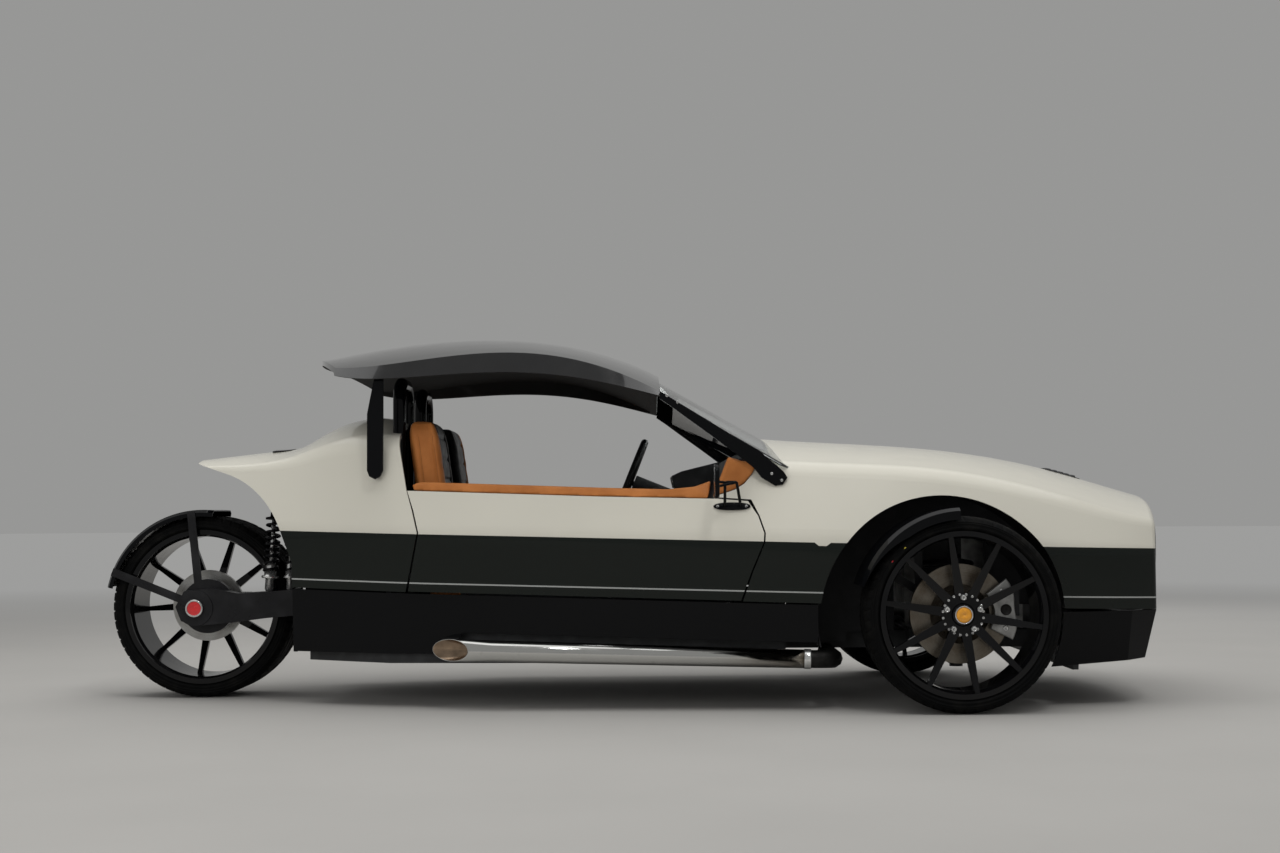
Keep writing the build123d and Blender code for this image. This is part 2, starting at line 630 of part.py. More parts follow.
# Wheel arch liners
front_liner = across(ARCH_X, ARCH_Z, ARCH_RADIUS + 2 * LINER, -FAR, -ARCH_INNER_Y + LINER)
front_liner -= across(ARCH_X, ARCH_Z, ARCH_RADIUS + LINER, -FAR, -ARCH_INNER_Y)
body_inside = hull(PANEL + SEAT_GAP)
splash = front_liner & box(600, 760, -684, -ARCH_INNER_Y + LINER, SPLASH_LOW, 362)
splash += box(650, 925, -ARCH_INNER_Y, -ARCH_INNER_Y + LINER, rail_high + 4, 352)
front_liner = (front_liner & body_inside) - box(925, 1235, -500, -400, 0, 575) + splash
rear_liner = (tail_opening(2 * LINER) - tail_opening(LINER)) & body_inside
rear_liner -= box(-1300, -1100, -262, -160, 300, 405)
rear_liner -= box(-1215, -1160, SHOCK_Y - 26, SHOCK_Y + 26, 540, BEAM[2])
rear_liner -= box(-1300, -1100, BEAM[0] - 1, BEAM[1] + 1, BEAM[2] - 1, BEAM[3] + 1)
save(left_and_right(front_liner) + rear_liner, "wheel_liners")

# Nose fittings
grille_plate = box(1700, 1900, -half_grille + SEAT_GAP, half_grille - SEAT_GAP, grille_low + SEAT_GAP,
                   grille_high - SEAT_GAP) & (plan_trim(3) - plan_trim(13))
BARS = 7
pitch = (grille_high - grille_low - 16) / BARS
slots = [box(1700, 1900, y0, y0 + 90, grille_low + 12 + pitch * n, grille_low + 4 + pitch * (n + 1))
         for n in range(BARS) for y0 in (-288, -192, -96 + 0.5, 1.5 + 4, 102, 198)]
save(grille_plate - slots, "grille")

lamp_end = (1900, -LAMP_Y, LAMP_Z)
bezel = tube((1660, -LAMP_Y, LAMP_Z), lamp_end, LAMP_RADIUS - SEAT_GAP)
bezel -= tube((1668, -LAMP_Y, LAMP_Z), lamp_end, LAMP_RADIUS - LAMP_WALL)
bezel = bezel & plan_trim(-3)
bulb = tube((1660, -LAMP_Y, LAMP_Z), (1712, -LAMP_Y, LAMP_Z), 22)
save(left_and_right(bezel + bulb), "head_lamps")
lens = tube((1700, -LAMP_Y, LAMP_Z), lamp_end, LAMP_RADIUS - LAMP_WALL - SEAT_GAP) & (plan_trim(1) - plan_trim(5))
save(left_and_right(lens), "head_lenses")
lamp_base_x = REAR_EDGE_X + LINER - SEAT_GAP
tail_lamp = tube((lamp_base_x, -330, 450), (lamp_base_x - TAIL_LAMP_HEIGHT, -330, 450), 36)
save(left_and_right(tail_lamp), "tail_lamps")

# Roof, its legs and the hoops behind the seats
roof = roof_solid(0) - roof_solid(ROOF_THICKNESS, FAR / 30)
header = roof_solid(0) - roof_solid(HEADER, FAR / 30)
roof += header & box(ROOF_FRONT_X - HEADER, ROOF_FRONT_X + 1, -FAR, FAR, 900, HIGH)
roof = roof & (Location((ROOF_END_X + ROOF_END_RADIUS, 0, HIGH)) * Cylinder(ROOF_END_RADIUS, HIGH))
save(roof, "roof")
leg = side_prism(LEG_PROFILE) & box(-900, -700, -LEG_Y, -LEG_Y + LEG_PLATE, 700, HIGH)
leg = (leg - outside) & roof_solid(ROOF_THICKNESS + SEAT_GAP, 500)
save(left_and_right(leg), "roof_legs")
hoop_low, hoop_high = HOOP_Y
with BuildPart() as bow:
    with BuildLine() as route:
        FilletPolyline((HOOP_X, -hoop_low, 960), (HOOP_X, -hoop_low, HOOP_TOP), (HOOP_X, -hoop_high, HOOP_TOP),
                       (HOOP_X, -hoop_high, 960), radius=70)
    with BuildSketch(Plane(origin=route.line @ 0, z_dir=route.line % 0)):
        Circle(HOOP_RADIUS)
    sweep()
feet = [tube((HOOP_X, -y, 600), (HOOP_X, -y, 965), HOOP_RADIUS) for y in HOOP_Y]
save(left_and_right(bow.part + feet), "hoops")

# Windscreen and its rails
rail = side_prism(RAIL_TOP + RAIL_BOTTOM) & box(ROOF_FRONT_X + SEAT_GAP, 600, -RAIL_Y, -RAIL_Y + RAIL_PLATE, 700, 1200)
rail -= outside
save(left_and_right(rail), "screen_rails")
glass_half = RAIL_Y - RAIL_PLATE - SEAT_GAP
with BuildPart() as screen:
    slope = Plane(origin=(SCREEN_X, 0, SCREEN_Z), z_dir=(1, 0, SCREEN_SLOPE), x_dir=(0, 1, 0))
    with BuildSketch(slope):
        with BuildLine():
            ThreePointArc((-glass_half, -SCREEN_CROWN), (0, 0), (glass_half, -SCREEN_CROWN))
            Line((glass_half, -SCREEN_CROWN), (glass_half, -SCREEN_CROWN - GLASS))
            ThreePointArc((glass_half, -SCREEN_CROWN - GLASS), (0, -GLASS), (-glass_half, -SCREEN_CROWN - GLASS))
            Line((-glass_half, -SCREEN_CROWN - GLASS), (-glass_half, -SCREEN_CROWN))
        make_face()
    extrude(amount=620, both=True)
glass = (screen.part & box(ROOF_FRONT_X + SEAT_GAP, 700, -700, 700, 600, HIGH)) - outside
save(glass.solids().sort_by(SortBy.VOLUME)[-1], "windscreen")
trim_low = [(x - SEAT_GAP, z + SEAT_GAP) for x, z in NOSE_REAR_EDGE[6:12]]
trim_plate = side_prism(trim_low + COWL_TRIM_TOP) & box(200, 600, -glass_half, -glass_half + 26, 600, 1000)
save(left_and_right(trim_plate), "cowl_trim")

# Front wheels, uprights and mudguards, drawn about the wheel's middle
front_place = Location((FRONT_AXLE_X, -FRONT_HALF_TRACK, FRONT_TYRE_RADIUS))
pin_y = FRONT_HALF_TRACK - KINGPIN_Y
upright = box(-34, 34, pin_y - 26, pin_y + 14, -UPRIGHT_HALF, UPRIGHT_HALF)
upright += tube((0, pin_y, -175), (0, pin_y, 175), RACK_RADIUS - 4 - BEARING_GAP)
upright += across(0, 0, SPINDLE_RADIUS - BEARING_GAP, -FRONT_FACE_Y - 8, pin_y)
upright += box(-152, 0, pin_y - 16, pin_y + 6, -42, -22)
upright += box(30, 190, 24, 56, -20, 60)
upright += box(112, 190, -34, 44, -6, 84) - box(100, 172, -18, 18, -20, 100)
stay_y = FRONT_GUARD_HALF + SEAT_GAP
upright += box(-125, -30, 70, 90, 55, 85) + box(-125, -100, 80, stay_y + STAY, 55, 85)
for points in ([(-125, 55), (-100, 55), (-96, 324), (-124, 314)], [(-115, 55), (-115, 85), (-276, 190), (-296, 162)]):
    upright += side_prism(points) & box(-400, 0, stay_y, stay_y + STAY, 0, 400)
save_pair(front_place * upright, "knuckle")
save_pair(front_place * tyre(FRONT_TYRE_RADIUS, FRONT_TYRE_WIDTH, FRONT_RIM_RADIUS), "front_tyre")
save_pair(front_place * rim(FRONT_RIM_RADIUS, FRONT_TYRE_WIDTH, FRONT_FACE_Y), "front_rim")
save_pair(front_place * disc(FRONT_DISC_RADIUS, FRONT_FACE_Y - HUB_HALF - SEAT_GAP), "front_disc")
front_guard = mudguard(FRONT_GUARD_RADIUS, FRONT_GUARD_HALF, FRONT_GUARD_ARC, 38.0)
taper_x, taper_z, taper_less = GUARD_TAPER
front_guard -= across(taper_x, taper_z, FRONT_GUARD_RADIUS - taper_less, -FAR, FAR)
save_pair(front_place * front_guard, "front_fender")

# Front arms with their coil-overs, half shafts and the steering rack
arms = Part()
for z_in, z_out in zip(PIVOT_INNER_Z, PIVOT_Z):
    for dx in (-87, 93):
        arms += tube((FRONT_AXLE_X + dx, -TOWER_Y, z_in), (FRONT_AXLE_X, -KINGPIN_Y, z_out), 13)
    place = Location((FRONT_AXLE_X, -KINGPIN_Y, z_out))
    arms += place * Cylinder(22, 18)
    arms -= place * Cylinder(RACK_RADIUS - 4, 60)
arms += coil_over((1135, -560, 182), (1135, -448, 540), 20, 6)
arms += tube((1135, -448, 540), (1135, -TOWER_Y, 540), 14)
arms -= box(900, 1300, -TOWER_Y - SEAT_GAP, 0, 100, 700)
save(left_and_right(arms), "front_arms")
shaft = across(FRONT_AXLE_X, FRONT_TYRE_RADIUS, 13, -636, -270 - SEAT_GAP)
shaft += across(FRONT_AXLE_X, FRONT_TYRE_RADIUS, 30, -636, -590) + across(FRONT_AXLE_X, FRONT_TYRE_RADIUS, 30, -330, -280)
save(left_and_right(shaft), "half_shafts")
rack = across(TIE_X, TIE_Z, RACK_RADIUS, -250, 250)
rack += left_and_right(tube((TIE_X, -240, TIE_Z), (TIE_X, -KINGPIN_Y + 14, TIE_Z), 9))
save(rack, "steering_rack")
engine = box(985, 1400, -270, 270, rail_high + SEAT_GAP, 640)
save(engine, "engine_block")

# Rear wheel, its arm, coil-over and mudguard
rear_place = Location((REAR_AXLE_X, 0, REAR_TYRE_RADIUS))
save(rear_place * tyre(REAR_TYRE_RADIUS, REAR_TYRE_WIDTH, REAR_RIM_RADIUS), "rear_tyre")
rear_rim = Rot(0, REAR_TURN, 0) * mirror(rim(REAR_RIM_RADIUS, REAR_TYRE_WIDTH, REAR_FACE_Y), about=Plane.XZ)
save(rear_place * rear_rim, "rear_rim")
rear_disc = Location((0, -24, 0)) * mirror(disc(REAR_DISC_RADIUS, REAR_FACE_Y - HUB_HALF - SEAT_GAP + 24), about=Plane.XZ)
save(rear_place * rear_disc, "rear_disc")

arm = side_prism(ARM_PROFILE) & box(-1700, -1000, -ARM_Y[1], -ARM_Y[0], 200, 500)
arm += across(REAR_AXLE_X, REAR_TYRE_RADIUS, 62, -250, -150)
arm += across(REAR_AXLE_X, REAR_TYRE_RADIUS, SPINDLE_RADIUS - BEARING_GAP, -160, REAR_FACE_Y + 8)
arm += across(-1090 - SEAT_GAP - 32, 332, 32, -262, -160)
arm += across(REAR_AXLE_X + 30, REAR_TYRE_RADIUS + 4, 96, -180, -152)
arm += box(REAR_AXLE_X + 80, REAR_AXLE_X + 150, -180, -50, 300, 372)
arm += box(REAR_AXLE_X + 84, REAR_AXLE_X + 150, -64, 6, 290, 372)
arm -= box(REAR_AXLE_X, REAR_AXLE_X + 134, -24 - 18, -24 + 18, 280, 380)
guard_y = REAR_GUARD_HALF + SEAT_GAP
for angle in (96, 158):
    tip = (cos(radians(angle)), sin(radians(angle)))
    reach = REAR_GUARD_RADIUS - 6
    across_x, across_z = -tip[1] * 14, tip[0] * 14
    points = [(across_x, across_z), (-across_x, -across_z),
              (tip[0] * reach - across_x, tip[1] * reach - across_z),
              (tip[0] * reach + across_x, tip[1] * reach + across_z)]
    arm += rear_place * (side_prism(points) & box(-500, 500, -guard_y - STAY, -guard_y, -400, 400))
save(arm, "swingarm")
save(across(REAR_AXLE_X, REAR_TYRE_RADIUS, 30, -262, -250 - SEAT_GAP), "rear_hub_cap")
save(rear_place * mudguard(REAR_GUARD_RADIUS, REAR_GUARD_HALF, REAR_GUARD_ARC, 24.0), "rear_fender")
shock_low, shock_high = SHOCK_Z
shock = Part()
for low_x, high_x, radius in SHOCKS:
    shock += coil_over((low_x, SHOCK_Y, shock_low), (high_x, SHOCK_Y, shock_high), radius, 8)
shock -= side_prism(ARM_PROFILE) & box(-1700, -1000, -ARM_Y[1] - 1, -ARM_Y[0] + 1, 200, 500)
shock -= box(-1300, -1150, -300, -100, BEAM[2] - SEAT_GAP, 800)
save(shock, "rear_shock")

# Exhausts
with BuildPart() as pipe:
    with BuildLine() as route:
        FilletPolyline(*PIPE_ROUTE, radius=PIPE_BEND)
    with BuildSketch(Plane(origin=route.line @ 0, z_dir=route.line % 0)):
        Circle(PIPE_RADIUS)
    sweep()
exhaust = pipe.part + tube(PIPE_ROUTE[0], PIPE_ROUTE[1], TIP_RADIUS)
exhaust -= tube((-740, -641, 204), PIPE_ROUTE[1], PIPE_RADIUS - PIPE_WALL)
exhaust -= side_prism(TIP_CUT)
for x in HANGERS:
    sill_y = 520 + (x + 810) / 1330 * 100 + SEAT_GAP
    exhaust += box(x, x + 20, -sill_y - 70, -sill_y - 1.8, 170, 184)
save(left_and_right(exhaust), "exhausts")

# Cabin fittings
half = SEAT_HALF_WIDTH
seat_low = FLOOR_TOP + SEAT_GAP
bolsters = side_prism(CUSHION, half) + side_prism(BACKREST, half)
bolsters -= side_prism([(x, z) for x, z in CUSHION], SEAT_PAD_HALF) & box(-540, 0, -half, half, 290, 500)
bolsters = bolsters - box(-900, 0, -half, half, 0, seat_low)
seat_pair = [Location((0, sign * SEAT_Y, 0)) * bolsters for sign in (-1, 1)]
save(Part() + seat_pair, "seats")
console = side_prism(CONSOLE, CONSOLE_HALF) - box(-900, 600, -half, half, 0, seat_low)
save(console, "console")

axis = (cos(radians(COLUMN_TILT)), 0, -sin(radians(COLUMN_TILT)))


def along(distance):
    """A point on the steering axis, ahead of the wheel's centre."""
    return tuple(c + a * distance for c, a in zip(WHEEL_CENTRE, axis))


column = tube(along(18), along(560), COLUMN_RADIUS) & box(-200, FIREWALL_X - SEAT_GAP, -FAR, FAR, 0, HIGH)
column -= tube(along(0), along(90), SHAFT_RADIUS + BEARING_GAP)
save(column, "steering_column")
with BuildPart() as wheel:
    Torus(STEERING_RADIUS - STEERING_RIM, STEERING_RIM)
    with BuildSketch():
        Circle(44)
    extrude(amount=9, both=True)
    with BuildSketch():
        with PolarLocations(0, 3, start_angle=90):
            with Locations(((STEERING_RADIUS - STEERING_RIM) / 2, 0)):
                Rectangle(STEERING_RADIUS - STEERING_RIM, 30)
    extrude(amount=4, both=True)
wheel_plane = Plane(origin=WHEEL_CENTRE, x_dir=(0, 1, 0), z_dir=tuple(-a for a in axis))
steering = wheel_plane.location * wheel.part + tube(along(0), along(80), SHAFT_RADIUS)
save(steering, "steering_wheel")
binnacle = Location((0, SEAT_Y, 0)) * side_prism(BINNACLE, BINNACLE_HALF)
dash = (carrier & side_prism(DASH, DASH_HALF)) + binnacle - tube(along(-50), along(600), COLUMN_RADIUS + SEAT_GAP)
save(dash, "dashboard")

# Mirrors on the doors: a foot on the skin, an A-shaped stalk and a thin head
foot = box(300, 420, -FAR, -600, 655, 689) & hull(-10.0, 0.0, DOOR_SECTIONS)
foot = (foot - outside).solids().sort_by(SortBy.VOLUME)[-1]
stalk = tube((338, -698, 672), (336, -775, 747), 5) + tube((390, -701, 672), (374, -775, 747), 5)
stalk += tube((331, -775, 747), (379, -775, 747), 5)
stalk += tube((342, -775, 747), (306, -792, 752), 5) + tube((366, -775, 747), (306, -796, 735), 5)
with BuildPart() as mirror_head:
    with BuildSketch(Plane.YZ.offset(300)):
        with Locations((-812, 752)):
            RectangleRounded(126, 112, 34)
    extrude(amount=15)
    fillet(mirror_head.faces().sort_by(Axis.X)[-1].edges(), 6)
save_pair(foot + (stalk - outside) + mirror_head.part, "mirror")
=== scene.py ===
"""Looks of the three wheeled car: paint, tyres with tread, padded leather, springs, lamps and fittings.

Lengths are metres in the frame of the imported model: +X to the nose, +Y to the driver's left, +Z up.
"""
import json
from math import cos, pi, radians, sin

import bmesh
import bpy
import numpy as np
from mathutils import Matrix, Vector
from mathutils.bvhtree import BVHTree


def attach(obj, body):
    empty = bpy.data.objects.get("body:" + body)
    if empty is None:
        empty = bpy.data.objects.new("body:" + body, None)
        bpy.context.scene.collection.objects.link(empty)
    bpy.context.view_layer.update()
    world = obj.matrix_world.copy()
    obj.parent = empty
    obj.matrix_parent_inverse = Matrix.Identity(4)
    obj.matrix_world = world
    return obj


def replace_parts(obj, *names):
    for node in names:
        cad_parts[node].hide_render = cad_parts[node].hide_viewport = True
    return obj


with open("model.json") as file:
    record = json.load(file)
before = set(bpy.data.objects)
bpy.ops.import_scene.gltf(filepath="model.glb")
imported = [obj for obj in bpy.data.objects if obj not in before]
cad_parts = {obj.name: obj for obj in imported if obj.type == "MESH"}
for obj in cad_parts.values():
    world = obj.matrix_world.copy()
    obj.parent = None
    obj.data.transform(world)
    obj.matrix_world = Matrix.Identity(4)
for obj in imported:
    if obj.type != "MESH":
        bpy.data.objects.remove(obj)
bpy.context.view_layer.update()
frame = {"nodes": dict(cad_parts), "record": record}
nodes = frame["nodes"]

SIDES = {"right": -1, "left": 1}

# Places taken from the part's own dimensions
FRONT_AXLE = Vector((1.097, 0.752, 0.318))
REAR_AXLE = Vector((-1.513, 0.0, 0.325))
FRONT_TYRE = (0.318, 0.225, 0.262)      # radius, width, rim radius
REAR_TYRE = (0.325, 0.285, 0.267)
FRONT_HUB_FACE = 0.078                  # from the wheel's middle
# Rear coil-overs: low end, high end, radius of the spring
SHOCKS = {
    "outer": (Vector((-1.262, -0.200, 0.370)), Vector((-1.240, -0.200, 0.680)), 0.029),
    "inner": (Vector((-1.188, -0.200, 0.370)), Vector((-1.186, -0.200, 0.680)), 0.021),
}
SEAT_Y = 0.315

# Colours, linear
CREAM = (0.60, 0.58, 0.505)
BAND = (0.0045, 0.0068, 0.0052)
STRIPE = (0.36, 0.37, 0.36)
LINING = (0.012, 0.012, 0.013)
GLOSS_BLACK = (0.0024, 0.0026, 0.0032)
TAN = (0.54, 0.205, 0.060)
TAN_DARK = (0.36, 0.125, 0.033)
BLACK_LEATHER = (0.014, 0.013, 0.013)
RUBBER = (0.0036, 0.0037, 0.0038)
RUBBER_DUSTY = (0.0085, 0.0082, 0.0076)
ORANGE = (0.80, 0.33, 0.008)
RED = (0.62, 0.006, 0.010)
FLOOR = (0.40, 0.39, 0.37)

# The lines on the body side fall by RAKE per metre forward
RAKE = 0.0255
TWO_TONE_Z = 0.568
STRIPE_Z = 0.404
NOTCH_X = 0.6545
NOTCH_Z = 0.557
NOTCH_HALF = 0.0125
NOTCH_SLANT = 1.3
STRIPE_HALF = 0.0024
EDGE = 0.0003


# Materials


class Look:
    """A node material under construction. Its coordinates are the row frame's metres."""

    def __init__(self, name, colour, **sockets):
        self.material = bpy.data.materials.new(name)
        self.material.use_nodes = True
        self.tree = self.material.node_tree
        self.shader = self.tree.nodes["Principled BSDF"]
        coordinates = self.node("ShaderNodeTexCoord")
        self.place = coordinates.outputs["Object"]
        self.facing = coordinates.outputs["Normal"]
        self.set("Base Color", (*colour, 1.0))
        for key, value in sockets.items():
            words = key.replace("_", " ").title().replace("Ior", "IOR")
            self.set(words, value)

    def node(self, kind, inputs=None, **settings):
        """A new node with its inputs fed and its settings set."""
        made = self.tree.nodes.new(kind)
        for key, value in settings.items():
            setattr(made, key, value)
        for key, value in (inputs or {}).items():
            self.feed(made.inputs[key], value)
        return made

    def feed(self, socket, value):
        """Give an input a value, or another node's output."""
        if isinstance(value, bpy.types.NodeSocket):
            self.tree.links.new(value, socket)
        else:
            socket.default_value = value

    def set(self, name, value):
        """Feed one of the shader's own inputs."""
        self.feed(self.shader.inputs[name], value)

    def base(self, factor, a, b):
        """Base colour a where factor is 0 and b where it is 1."""
        self.set("Base Color", self.mix(factor, a, b))

    def maths(self, operation, *values):
        """The result of a scalar operation."""
        made = self.node("ShaderNodeMath", operation=operation)
        for socket, value in zip(made.inputs, values):
            self.feed(socket, value)
        return made.outputs[0]

    def axes(self, vector=None):
        """The x, y and z of a vector."""
        return self.node("ShaderNodeSeparateXYZ", {0: vector or self.place}).outputs

    def moved(self, stretch=(1, 1, 1), shift=(0, 0, 0)):
        """The place, shifted and stretched."""
        inputs = {"Vector": self.place, "Scale": stretch, "Location": shift}
        return self.node("ShaderNodeMapping", inputs).outputs[0]

    def noise(self, scale, detail=3.0, stretch=(1, 1, 1)):
        """Soft noise with features of about 1 / scale metres."""
        inputs = {"Vector": self.moved(stretch), "Scale": scale, "Detail": detail}
        return self.node("ShaderNodeTexNoise", inputs).outputs[0]

    def cells(self, scale, stretch=(1, 1, 1), feature="F1"):
        """Distance to the points of a cell pattern."""
        inputs = {"Vector": self.moved(stretch), "Scale": scale}
        return self.node("ShaderNodeTexVoronoi", inputs, feature=feature).outputs["Distance"]

    def pattern(self, kind, *values):
        """Noise or cells, whichever kind says."""
        return self.cells(*values) if kind == "cells" else self.noise(*values)

    def ramp(self, value, low, high, to_low=0.0, to_high=1.0):
        """Value mapped from low..high to to_low..to_high, and held there."""
        inputs = {0: value, 1: low, 2: high, 3: to_low, 4: to_high}
        return self.node("ShaderNodeMapRange", inputs).outputs[0]

    def inside(self, value, low, high, edge=EDGE):
        """1 where value lies between low and high, else 0."""
        above = self.ramp(value, low - edge, low + edge)
        below = self.ramp(value, high + edge, high - edge)
        return self.maths("MULTIPLY", above, below)

    def mix(self, factor, a, b):
        """Colour a where factor is 0 and b where it is 1."""
        made = self.node("ShaderNodeMix", data_type="RGBA")
        for index, value in ((0, factor), (6, a), (7, b)):
            if isinstance(value, tuple):
                value = (*value, 1.0)
            self.feed(made.inputs[index], value)
        return made.outputs[2]

    def length(self, a, b):
        """Length of a plane vector."""
        squares = self.maths("ADD", self.maths("MULTIPLY", a, a), self.maths("MULTIPLY", b, b))
        return self.maths("SQRT", squares)

    def radius(self, centre):
        """Distance from a wheel's axis."""
        x, _, z = self.axes(self.moved(shift=(-centre.x, 0, -centre.z)))
        return self.length(x, z)

    def bump(self, *layers):
        """Relief from layers of (height, strength, depth in metres)."""
        normal = None
        for height, strength, depth in layers:
            inputs = {"Height": height, "Strength": strength, "Distance": depth}
            if normal is not None:
                inputs["Normal"] = normal
            normal = self.node("ShaderNodeBump", inputs).outputs[0]
        self.set("Normal", normal)

    def roughness(self, value, low, high):
        """Roughness from low to high as value goes from 0.3 to 0.7."""
        self.set("Roughness", self.ramp(value, 0.3, 0.7, low, high))


def worn_look(name, colour, second, film, span, rough, *relief, **sockets):
    """A look whose colour and shine follow one film, over relief of (pattern, strength, depth)."""
    look = Look(name, colour, **sockets)
    film = look.pattern(*film)
    look.base(look.ramp(film, *span), colour, second)
    look.roughness(film, *rough)
    look.bump(*((look.pattern(*shape), strength, depth) for shape, strength, depth in relief))
    return look.material


def satin_look(name, colour, rough, grain=1400.0):
    """Powder coat or moulded plastic: fine even grain, worn a little shinier in patches."""
    pale = tuple(min(1.0, c * 1.6 + 0.006) for c in colour)
    return worn_look(name, colour, pale, ("noise", 17.0, 5.0), (0.45, 0.8), rough,
                     (("cells", grain), 0.25, 0.0004), (("noise", grain / 9, 3.0), 0.10, 0.0006),
                     Specular_IOR_Level=0.2)


def cast_look(name, colour, rough=(0.32, 0.52)):
    """Cast and machined aluminium with pits, stains and tool marks."""
    stained = tuple(c * 0.55 for c in colour)
    return worn_look(name, colour, stained, ("noise", 34.0, 6.0), (0.35, 0.75), rough,
                     (("noise", 700.0, 4.0), 0.35, 0.0006),
                     (("noise", 120.0, 2.0, (1, 12, 1)), 0.10, 0.0004), Metallic=0.9)


def rubber_look():
    """Tyre rubber, greyer where dust sits, with fine mould grain."""
    return worn_look("tyre_rubber", RUBBER, RUBBER_DUSTY, ("noise", 26.0, 6.0), (0.45, 0.75), (0.62, 0.85),
                     (("noise", 1500.0, 3.0), 0.30, 0.0003), (("noise", 160.0, 2.0), 0.08, 0.0006),
                     Specular_IOR_Level=0.06)


def frit_look():
    """Dull black of printed borders and seals, and of the painted shadow strips behind the tail's seams."""
    return worn_look("frit", (0.0020, 0.0020, 0.0022), RUBBER, ("noise", 30.0, 4.0), (0.4, 0.8),
                     (0.75, 0.95), (("noise", 800.0, 2.0), 0.05, 0.0002), Specular_IOR_Level=0.0)


def carpet_look():
    """Short black carpet."""
    tufts = ("cells", 900.0)
    return worn_look("carpet", (0.018, 0.018, 0.019), (0.006, 0.006, 0.007), tufts, (0.2, 0.7), (0.85, 0.98),
                     (tufts, 0.7, 0.0016), (("noise", 40.0, 4.0), 0.3, 0.002),
                     Sheen_Weight=0.25, Sheen_Roughness=0.6)


def paint_look():
    """Cream over a near-black green band with a silver line; plain lining on the panels' inner faces."""
    look = Look("body_paint", CREAM, Coat_Weight=0.45, Coat_Roughness=0.025, Specular_IOR_Level=0.05)
    x, y, z = look.axes()
    height = look.maths("MULTIPLY_ADD", x, RAKE, z)
    cream = look.ramp(height, TWO_TONE_Z - EDGE, TWO_TONE_Z + EDGE)
    away = look.maths("ABSOLUTE", look.maths("SUBTRACT", x, NOTCH_X))
    reach = look.maths("MULTIPLY_ADD", look.maths("SUBTRACT", height, NOTCH_Z), NOTCH_SLANT, NOTCH_HALF)
    notch = look.maths("MULTIPLY", look.ramp(look.maths("SUBTRACT", away, reach), EDGE, -EDGE),
                       look.ramp(height, NOTCH_Z - EDGE, NOTCH_Z + EDGE))
    cream = look.maths("MAXIMUM", cream, notch)
    cloud = look.ramp(look.noise(3.0), 0.3, 0.7, 0.97, 1.0)
    shade = look.node("ShaderNodeVectorMath", {0: (*CREAM,), "Scale": cloud}, operation="SCALE").outputs[0]
    coat = look.mix(cream, BAND, shade)
    line = look.inside(height, STRIPE_Z - STRIPE_HALF, STRIPE_Z + STRIPE_HALF)
    coat = look.mix(line, coat, STRIPE)
    _, ny, nz = look.axes(look.facing)
    outward = look.maths("MULTIPLY", look.maths("SIGN", y), ny)
    inner = look.maths("MAXIMUM", look.ramp(outward, -0.20, -0.28), look.ramp(nz, -0.40, -0.48))
    look.base(inner, coat, LINING)
    dust = look.noise(14.0, 5.0)
    low = look.ramp(z, 0.60, 0.35, 0.0, 0.10)
    shine = look.maths("MULTIPLY_ADD", dust, low, look.ramp(dust, 0.3, 0.7, 0.16, 0.24))
    look.set("Roughness", look.maths("MAXIMUM", shine, look.maths("MULTIPLY", inner, 0.75)))
    look.bump((look.noise(260.0, 2.0), 0.05, 0.0006), (look.noise(3500.0, 1.0), 0.02, 0.0001))
    return look.material


def gloss_look(name, colour=GLOSS_BLACK, coat=0.25):
    """Deep gloss black lacquer with faint orange peel, specks of dust and fine swirls."""
    look = Look(name, colour, Coat_Weight=coat, Coat_Roughness=0.03, Specular_IOR_Level=0.02)
    dust = look.ramp(look.noise(900.0, 2.0), 0.66, 0.74)
    film = look.ramp(look.noise(9.0, 5.0), 0.35, 0.75, 0.0, 0.35)
    look.base(look.maths("MULTIPLY", dust, film), colour, (0.03, 0.03, 0.029))
    look.roughness(look.noise(22.0, 4.0), 0.10, 0.26)
    look.bump((look.noise(240.0, 2.0), 0.04, 0.0006), (look.noise(2600.0, 1.0), 0.03, 0.0001))
    return look.material


def roof_look():
    """The roof's lacquer outside, and plain matt black on its underside."""
    look = Look("roof_gloss", GLOSS_BLACK, Coat_Roughness=0.04, Specular_IOR_Level=0.5)
    _, _, nz = look.axes(look.facing)
    under = look.ramp(nz, -0.15, -0.35)
    swirl = look.ramp(look.noise(9.0, 5.0), 0.35, 0.75)
    look.base(swirl, GLOSS_BLACK, (0.006, 0.006, 0.0065))
    look.set("Coat Weight", look.ramp(under, 0.0, 1.0, 1.0, 0.0))
    shine = look.ramp(swirl, 0.0, 1.0, 0.10, 0.22)
    look.set("Roughness", look.maths("MAXIMUM", shine, look.maths("MULTIPLY", under, 0.8)))
    look.bump((look.noise(240.0, 2.0), 0.03, 0.0005))
    return look.material


def chrome_look():
    """Polished pipe: fine lengthwise scratches and a straw tint towards the hot front end."""
    look = Look("chrome_pipe", (0.62, 0.62, 0.60), Metallic=1.0)
    x, _, _ = look.axes()
    hot = look.maths("MULTIPLY", look.ramp(x, 0.30, 0.72), look.ramp(look.noise(6.0), 0.3, 0.7, 0.5, 1.0))
    tinted = look.mix(hot, (0.62, 0.62, 0.60), (0.50, 0.40, 0.28))
    smear = look.ramp(look.noise(40.0, 5.0), 0.62, 0.8, 0.0, 0.5)
    look.base(smear, tinted, (0.42, 0.41, 0.40))
    look.roughness(look.noise(30.0, 5.0), 0.05, 0.17)
    look.bump((look.noise(900.0, 2.0, (0.05, 1, 1)), 0.04, 0.0002), (look.noise(12.0), 0.03, 0.002))
    return look.material


